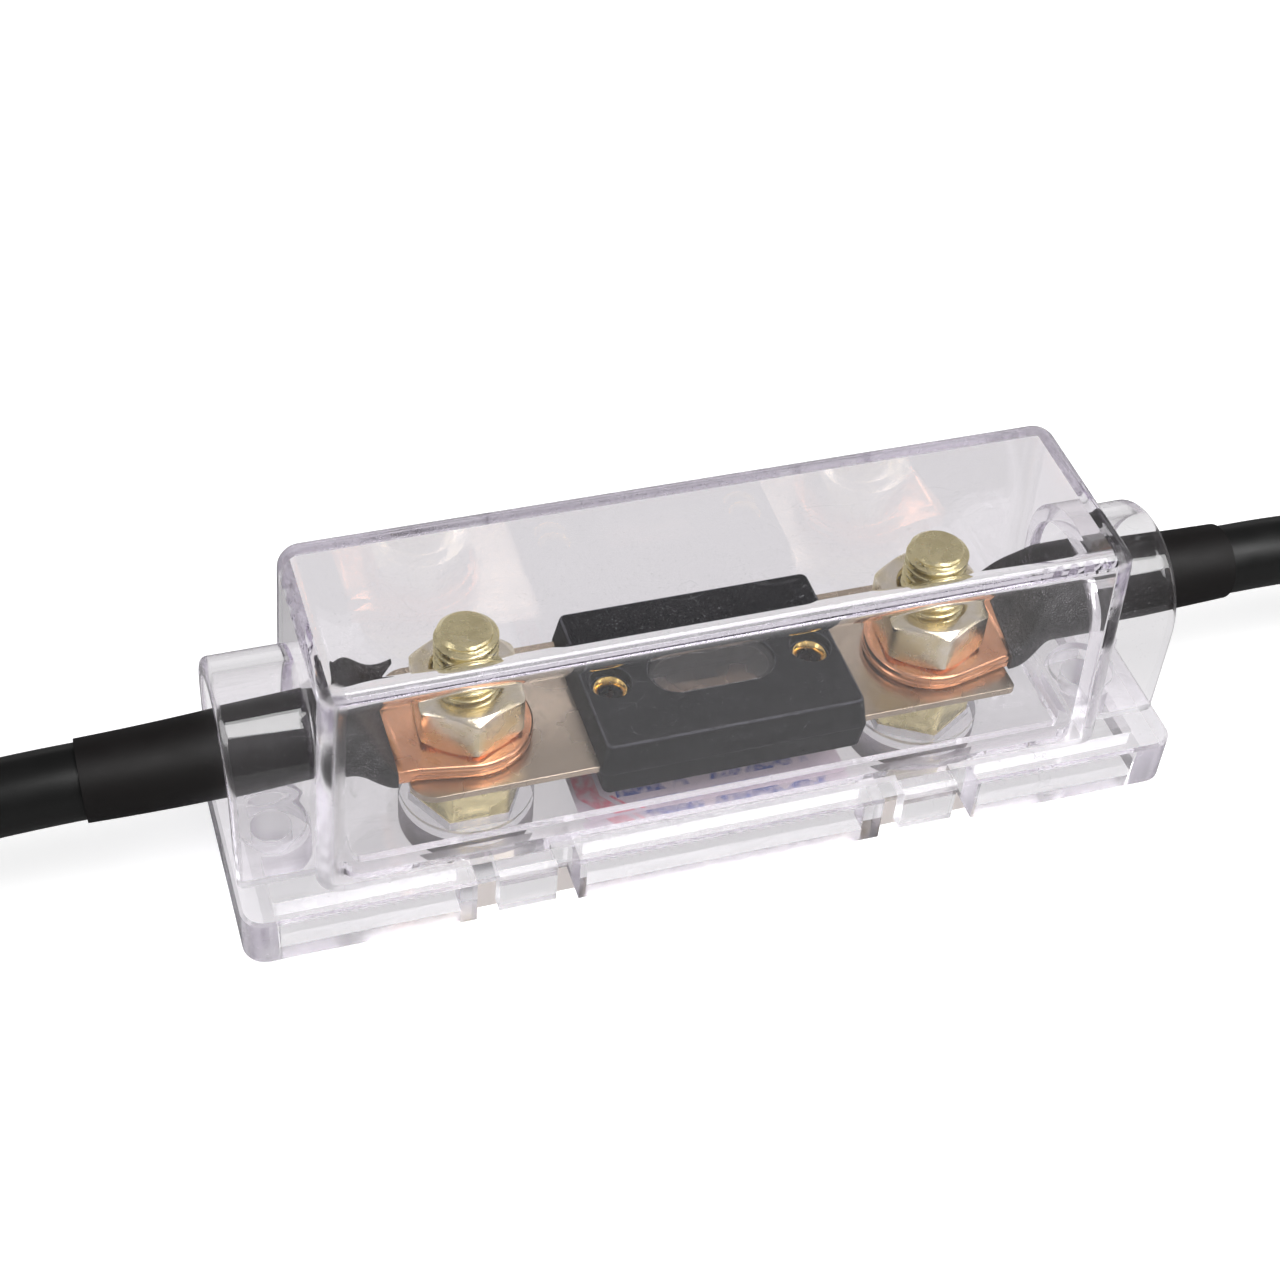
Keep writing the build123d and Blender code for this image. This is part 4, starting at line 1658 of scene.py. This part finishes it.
@dataclass(frozen=True)
class Studio:
    """A white table, soft lamps, a white surround and the camera of the photograph.

    The camera's angles are in degrees, its distance and target in millimetres and its focal
    length in pixels of the picture. The table and the surround show themselves at one level to
    sight, at others in gloss and through the clear walls, and light the holder at a plain one.
    A pair of levels is the surround's horizon and height, or the table in the open and in the
    painted shadow under the holder, where it is also darker and brown. The surround behind the
    walls rises with the number of walls passed, and its guided light is for rays that the walls
    have mirrored.
    """

    azimuth: float = -21.193
    elevation: float = 44.787
    roll: float = 5.193
    distance: float = 370.76
    target: tuple[float, float, float] = (12.779, 54.835, -32.123)
    focal_pixels: float = 2312.0
    picture_pixels: float = 1280.0
    sensor: float = 36.0
    ambient: float = 0.4
    sky_in_gloss: Span = (0.5, 0.04)
    horizon: float = 1.0
    horizon_band: Span = (0.08, 0.34)
    front_band: Span = (-0.30, 0.05)
    sky_behind_walls: Span = (0.28, 0.7)
    walls_passed: Span = (2.0, 4.0)
    guided_light: float = 1.0
    walls_mirrored: Span = (0.0, 2.0)
    front_sky: float = 0.05
    floor_seen_in_gloss: float = 0.15
    # The second level of each table glow and the brown colour paint a shadow under the holder.
    floor_glow_seen: Span = (0.55, 0.28)
    floor_glow_through: Span = (0.74, 0.58)
    floor_colour: Colour = (0.8, 0.8, 0.8)
    floor_colour_covered: Colour = (0.30, 0.26, 0.24)
    covered: tuple[float, float] = (119.0, 31.4)
    guided_bounces: int = 24
    floor_size: float = 6.0
    floor_gap: float = 0.05
    lamps: tuple[Lamp, ...] = (
        Lamp("softbox", (0.22, -0.33, 0.75), (0, 0, 0.02), (0.54, 0.46), 5.0),
        Lamp("left_fill", (-0.75, -0.15, 0.40), (0, 0, 0.02), (0.30, 0.50), 1.2),
        Lamp("right_fill", (0.70, -0.35, 0.35), (0, 0, 0.02), (0.30, 0.40), 1.0),
    )

    def make_camera(self) -> None:
        """Places the camera at the viewing angle and distance fitted to the photograph."""
        side, rise, roll = radians(self.azimuth), radians(self.elevation), radians(self.roll)
        back = Vector((sin(side) * cos(rise), -cos(side) * cos(rise), sin(rise)))
        right = (-back).cross(Vector((0, 0, 1))).normalized()
        upward = right.cross(-back)
        turned_right = cos(roll) * right + sin(roll) * upward
        turned_up = -sin(roll) * right + cos(roll) * upward
        data = bpy.data.cameras.new("camera")
        data.sensor_width = self.sensor
        data.sensor_fit = "HORIZONTAL"
        data.lens = self.focal_pixels / self.picture_pixels * self.sensor
        data.clip_start = 0.01
        camera = bpy.data.objects.new("camera", data)
        placed = Matrix((turned_right, turned_up, back)).transposed().to_4x4()
        placed.translation = (Vector(self.target) + back * self.distance) * MM
        camera.matrix_world = placed
        bpy.context.scene.collection.objects.link(camera)
        bpy.context.scene.camera = camera

    def make_floor(self) -> None:
        """Lays a white table that reads as plain white and keeps a soft shadow, with a painted shadow,
        dark and brown, under the holder.
        """
        half = self.floor_size / 2
        mesh = bpy.data.meshes.new("table")
        low = -self.floor_gap * MM
        corners = [(-half, -half, low), (half, -half, low), (half, half, low), (-half, half, low)]
        mesh.from_pydata(corners, [], [(0, 1, 2, 3)])
        table = bpy.data.objects.new("table", mesh)
        bpy.context.scene.collection.objects.link(table)
        tree = Tree.of_material("table_white")
        seen, refracted, mirrored = self.rays(tree.add("ShaderNodeLightPath"), tree)
        # Painted shadow: 1 inside the holder's footprint, where the table's glow and colour are
        # lowered.
        along, across = (
            tree.math("LESS_THAN", tree.math("ABSOLUTE", part), size / 2 * MM)
            for part, size in zip(tree.parts(tree.place), self.covered)
        )
        covered = tree.math("MULTIPLY", along, across)
        direct, through = (
            tree.math("MULTIPLY", rays, tree.spread(covered, (0, 1), levels))
            for rays, levels in ((seen, self.floor_glow_seen), (refracted, self.floor_glow_through))
        )
        strength = tree.math("ADD", direct, through)
        glow = tree.add("ShaderNodeEmission", Color=(1, 1, 1), Strength=strength)
        # Painted shadow: the table turns dark and brown under the holder.
        tone = tree.blend(covered, self.floor_colour, self.floor_colour_covered)
        matt = tree.add("ShaderNodeBsdfDiffuse", Color=tone)
        dim = tree.add("ShaderNodeBsdfDiffuse", Color=(self.floor_seen_in_gloss,) * 3)
        indirect = tree.math("ADD", mirrored, refracted, clamp=True)
        both = tree.add("ShaderNodeAddShader")
        tree.feed(both.inputs[0], tree.mix(indirect, matt.outputs[0], dim.outputs[0]))
        tree.feed(both.inputs[1], glow.outputs[0])
        mesh.materials.append(tree.finish(both.outputs[0]))

    def rays(self, path: bpy.types.Node, tree: Tree) -> tuple[Socket, Socket, Socket]:
        """Tells sight, rays through clear walls, and gloss that isn't behind a wall apart.

        Args:
            path: The Light Path node.
            tree: The nodes that it stands in.

        Returns:
            A socket for each, at 1 on its own rays.
        """
        refracted = path.outputs["Is Transmission Ray"]
        outside = tree.math("SUBTRACT", 1.0, refracted)
        mirrored = tree.math("MULTIPLY", path.outputs["Is Glossy Ray"], outside)
        return path.outputs["Is Camera Ray"], refracted, mirrored

    def make_surround(self) -> None:
        """Surrounds the scene with white for sight and a plain level for light."""
        world = bpy.data.worlds.new("surround")
        bpy.context.scene.world = world
        tree = Tree(world, "ShaderNodeOutputWorld")
        _, depth, height = tree.parts(tree.coordinates["Generated"])
        path = tree.add("ShaderNodeLightPath")
        behind = tree.spread(depth, self.front_band, smooth=True)
        climb = tree.spread(height, self.horizon_band, smooth=True)
        front = tree.math("MULTIPLY", tree.math("SUBTRACT", 1.0, behind), self.front_sky)

        def sky(low: float, high: float | Socket) -> Socket:
            """Behind: one level at the horizon and another above it. In front: a dark room.

            Args:
                low: The level at the horizon.
                high: The level from a third of the way up.

            Returns:
                The surround's level for a ray.
            """
            at_horizon = tree.math("MULTIPLY", tree.math("SUBTRACT", 1.0, climb), low)
            back = tree.math("ADD", at_horizon, tree.math("MULTIPLY", climb, high))
            return tree.math("ADD", tree.math("MULTIPLY", behind, back), front)

        passed, bounced = path.outputs["Transmission Depth"], path.outputs["Glossy Depth"]
        deep = tree.spread(passed, self.walls_passed, self.sky_behind_walls, smooth=True)
        guided = tree.spread(bounced, self.walls_mirrored, (0.0, self.guided_light), smooth=True)
        seen, refracted, mirrored = self.rays(path, tree)
        brighter = tree.math("MAXIMUM", sky(self.horizon, deep), guided)
        through = tree.math("MULTIPLY", refracted, brighter)
        gloss = tree.math("MULTIPLY", mirrored, sky(*self.sky_in_gloss))
        sight = tree.math("ADD", tree.math("ADD", seen, through), gloss)
        any_sight = tree.math("MAXIMUM", seen, tree.math("MAXIMUM", refracted, mirrored))
        other = tree.math("MULTIPLY", tree.math("SUBTRACT", 1.0, any_sight), self.ambient)
        shown = tree.add("ShaderNodeBackground", Strength=tree.math("ADD", sight, other))
        tree.finish(shown.outputs[0])

    def make(self) -> None:
        """Sets up the whole studio."""
        bpy.context.scene.view_settings.view_transform = "Standard"
        light_paths = bpy.context.scene.cycles
        light_paths.max_bounces = self.guided_bounces
        light_paths.transmission_bounces = self.guided_bounces
        light_paths.glossy_bounces = self.guided_bounces
        self.make_camera()
        self.make_floor()
        self.make_surround()
        for lamp in self.lamps:
            lamp.make()


def main() -> None:
    """Builds the studio and the holder in order."""
    logging.basicConfig(level=logging.INFO, format="%(name)s %(message)s")
    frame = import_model()
    Studio().make()
    finishes = Finishes()
    Lead(
        Side.LEFT, swing=3.5, tail=18.7, palm_gap=0.8, slant=0.07, curl=2.8,
        route=[
            (-59.297, -1.740, 21.7), (-68.280, -2.289, 21.7), (-84.0, -2.0, 21.4),
            (-103.0, -1.0, 18.6), (-122.0, 1.0, 13.2), (-141.0, 3.6, 8.2), (-160.0, 6.0, 5.8),
            (-176.0, 7.2, 5.5), (-190.0, 7.2, 5.5),
        ],
    ).make(finishes)
    Lead(
        Side.RIGHT, swing=0.0, tail=14.2, palm_gap=0.6, slant=0.12, curl=0.4,
        route=[
            (59.35, 0.0, 21.7), (68.35, 0.0, 21.7), (85.0, 0.3, 21.5), (104.0, 0.8, 19.0),
            (123.0, 0.5, 13.6), (142.0, -0.7, 8.5), (161.0, -2.2, 5.9), (177.0, -3.0, 5.5),
            (191.0, -3.0, 5.5),
        ],
    ).make(finishes)
    for side in Side:
        Stud(side).make(finishes)
        Nut(side).make(finishes)
    StripFuse(frame).make(finishes)
    Box(frame).make(finishes)

    # The strands in the lugs' barrels.
    for name, node in frame["nodes"].items():
        if not node.hide_render:
            node.data.materials.clear()
            node.data.materials.append(finishes.copper)
            logger.info("%s keeps its CAD shape", name)


if __name__ == "__main__":
    main()
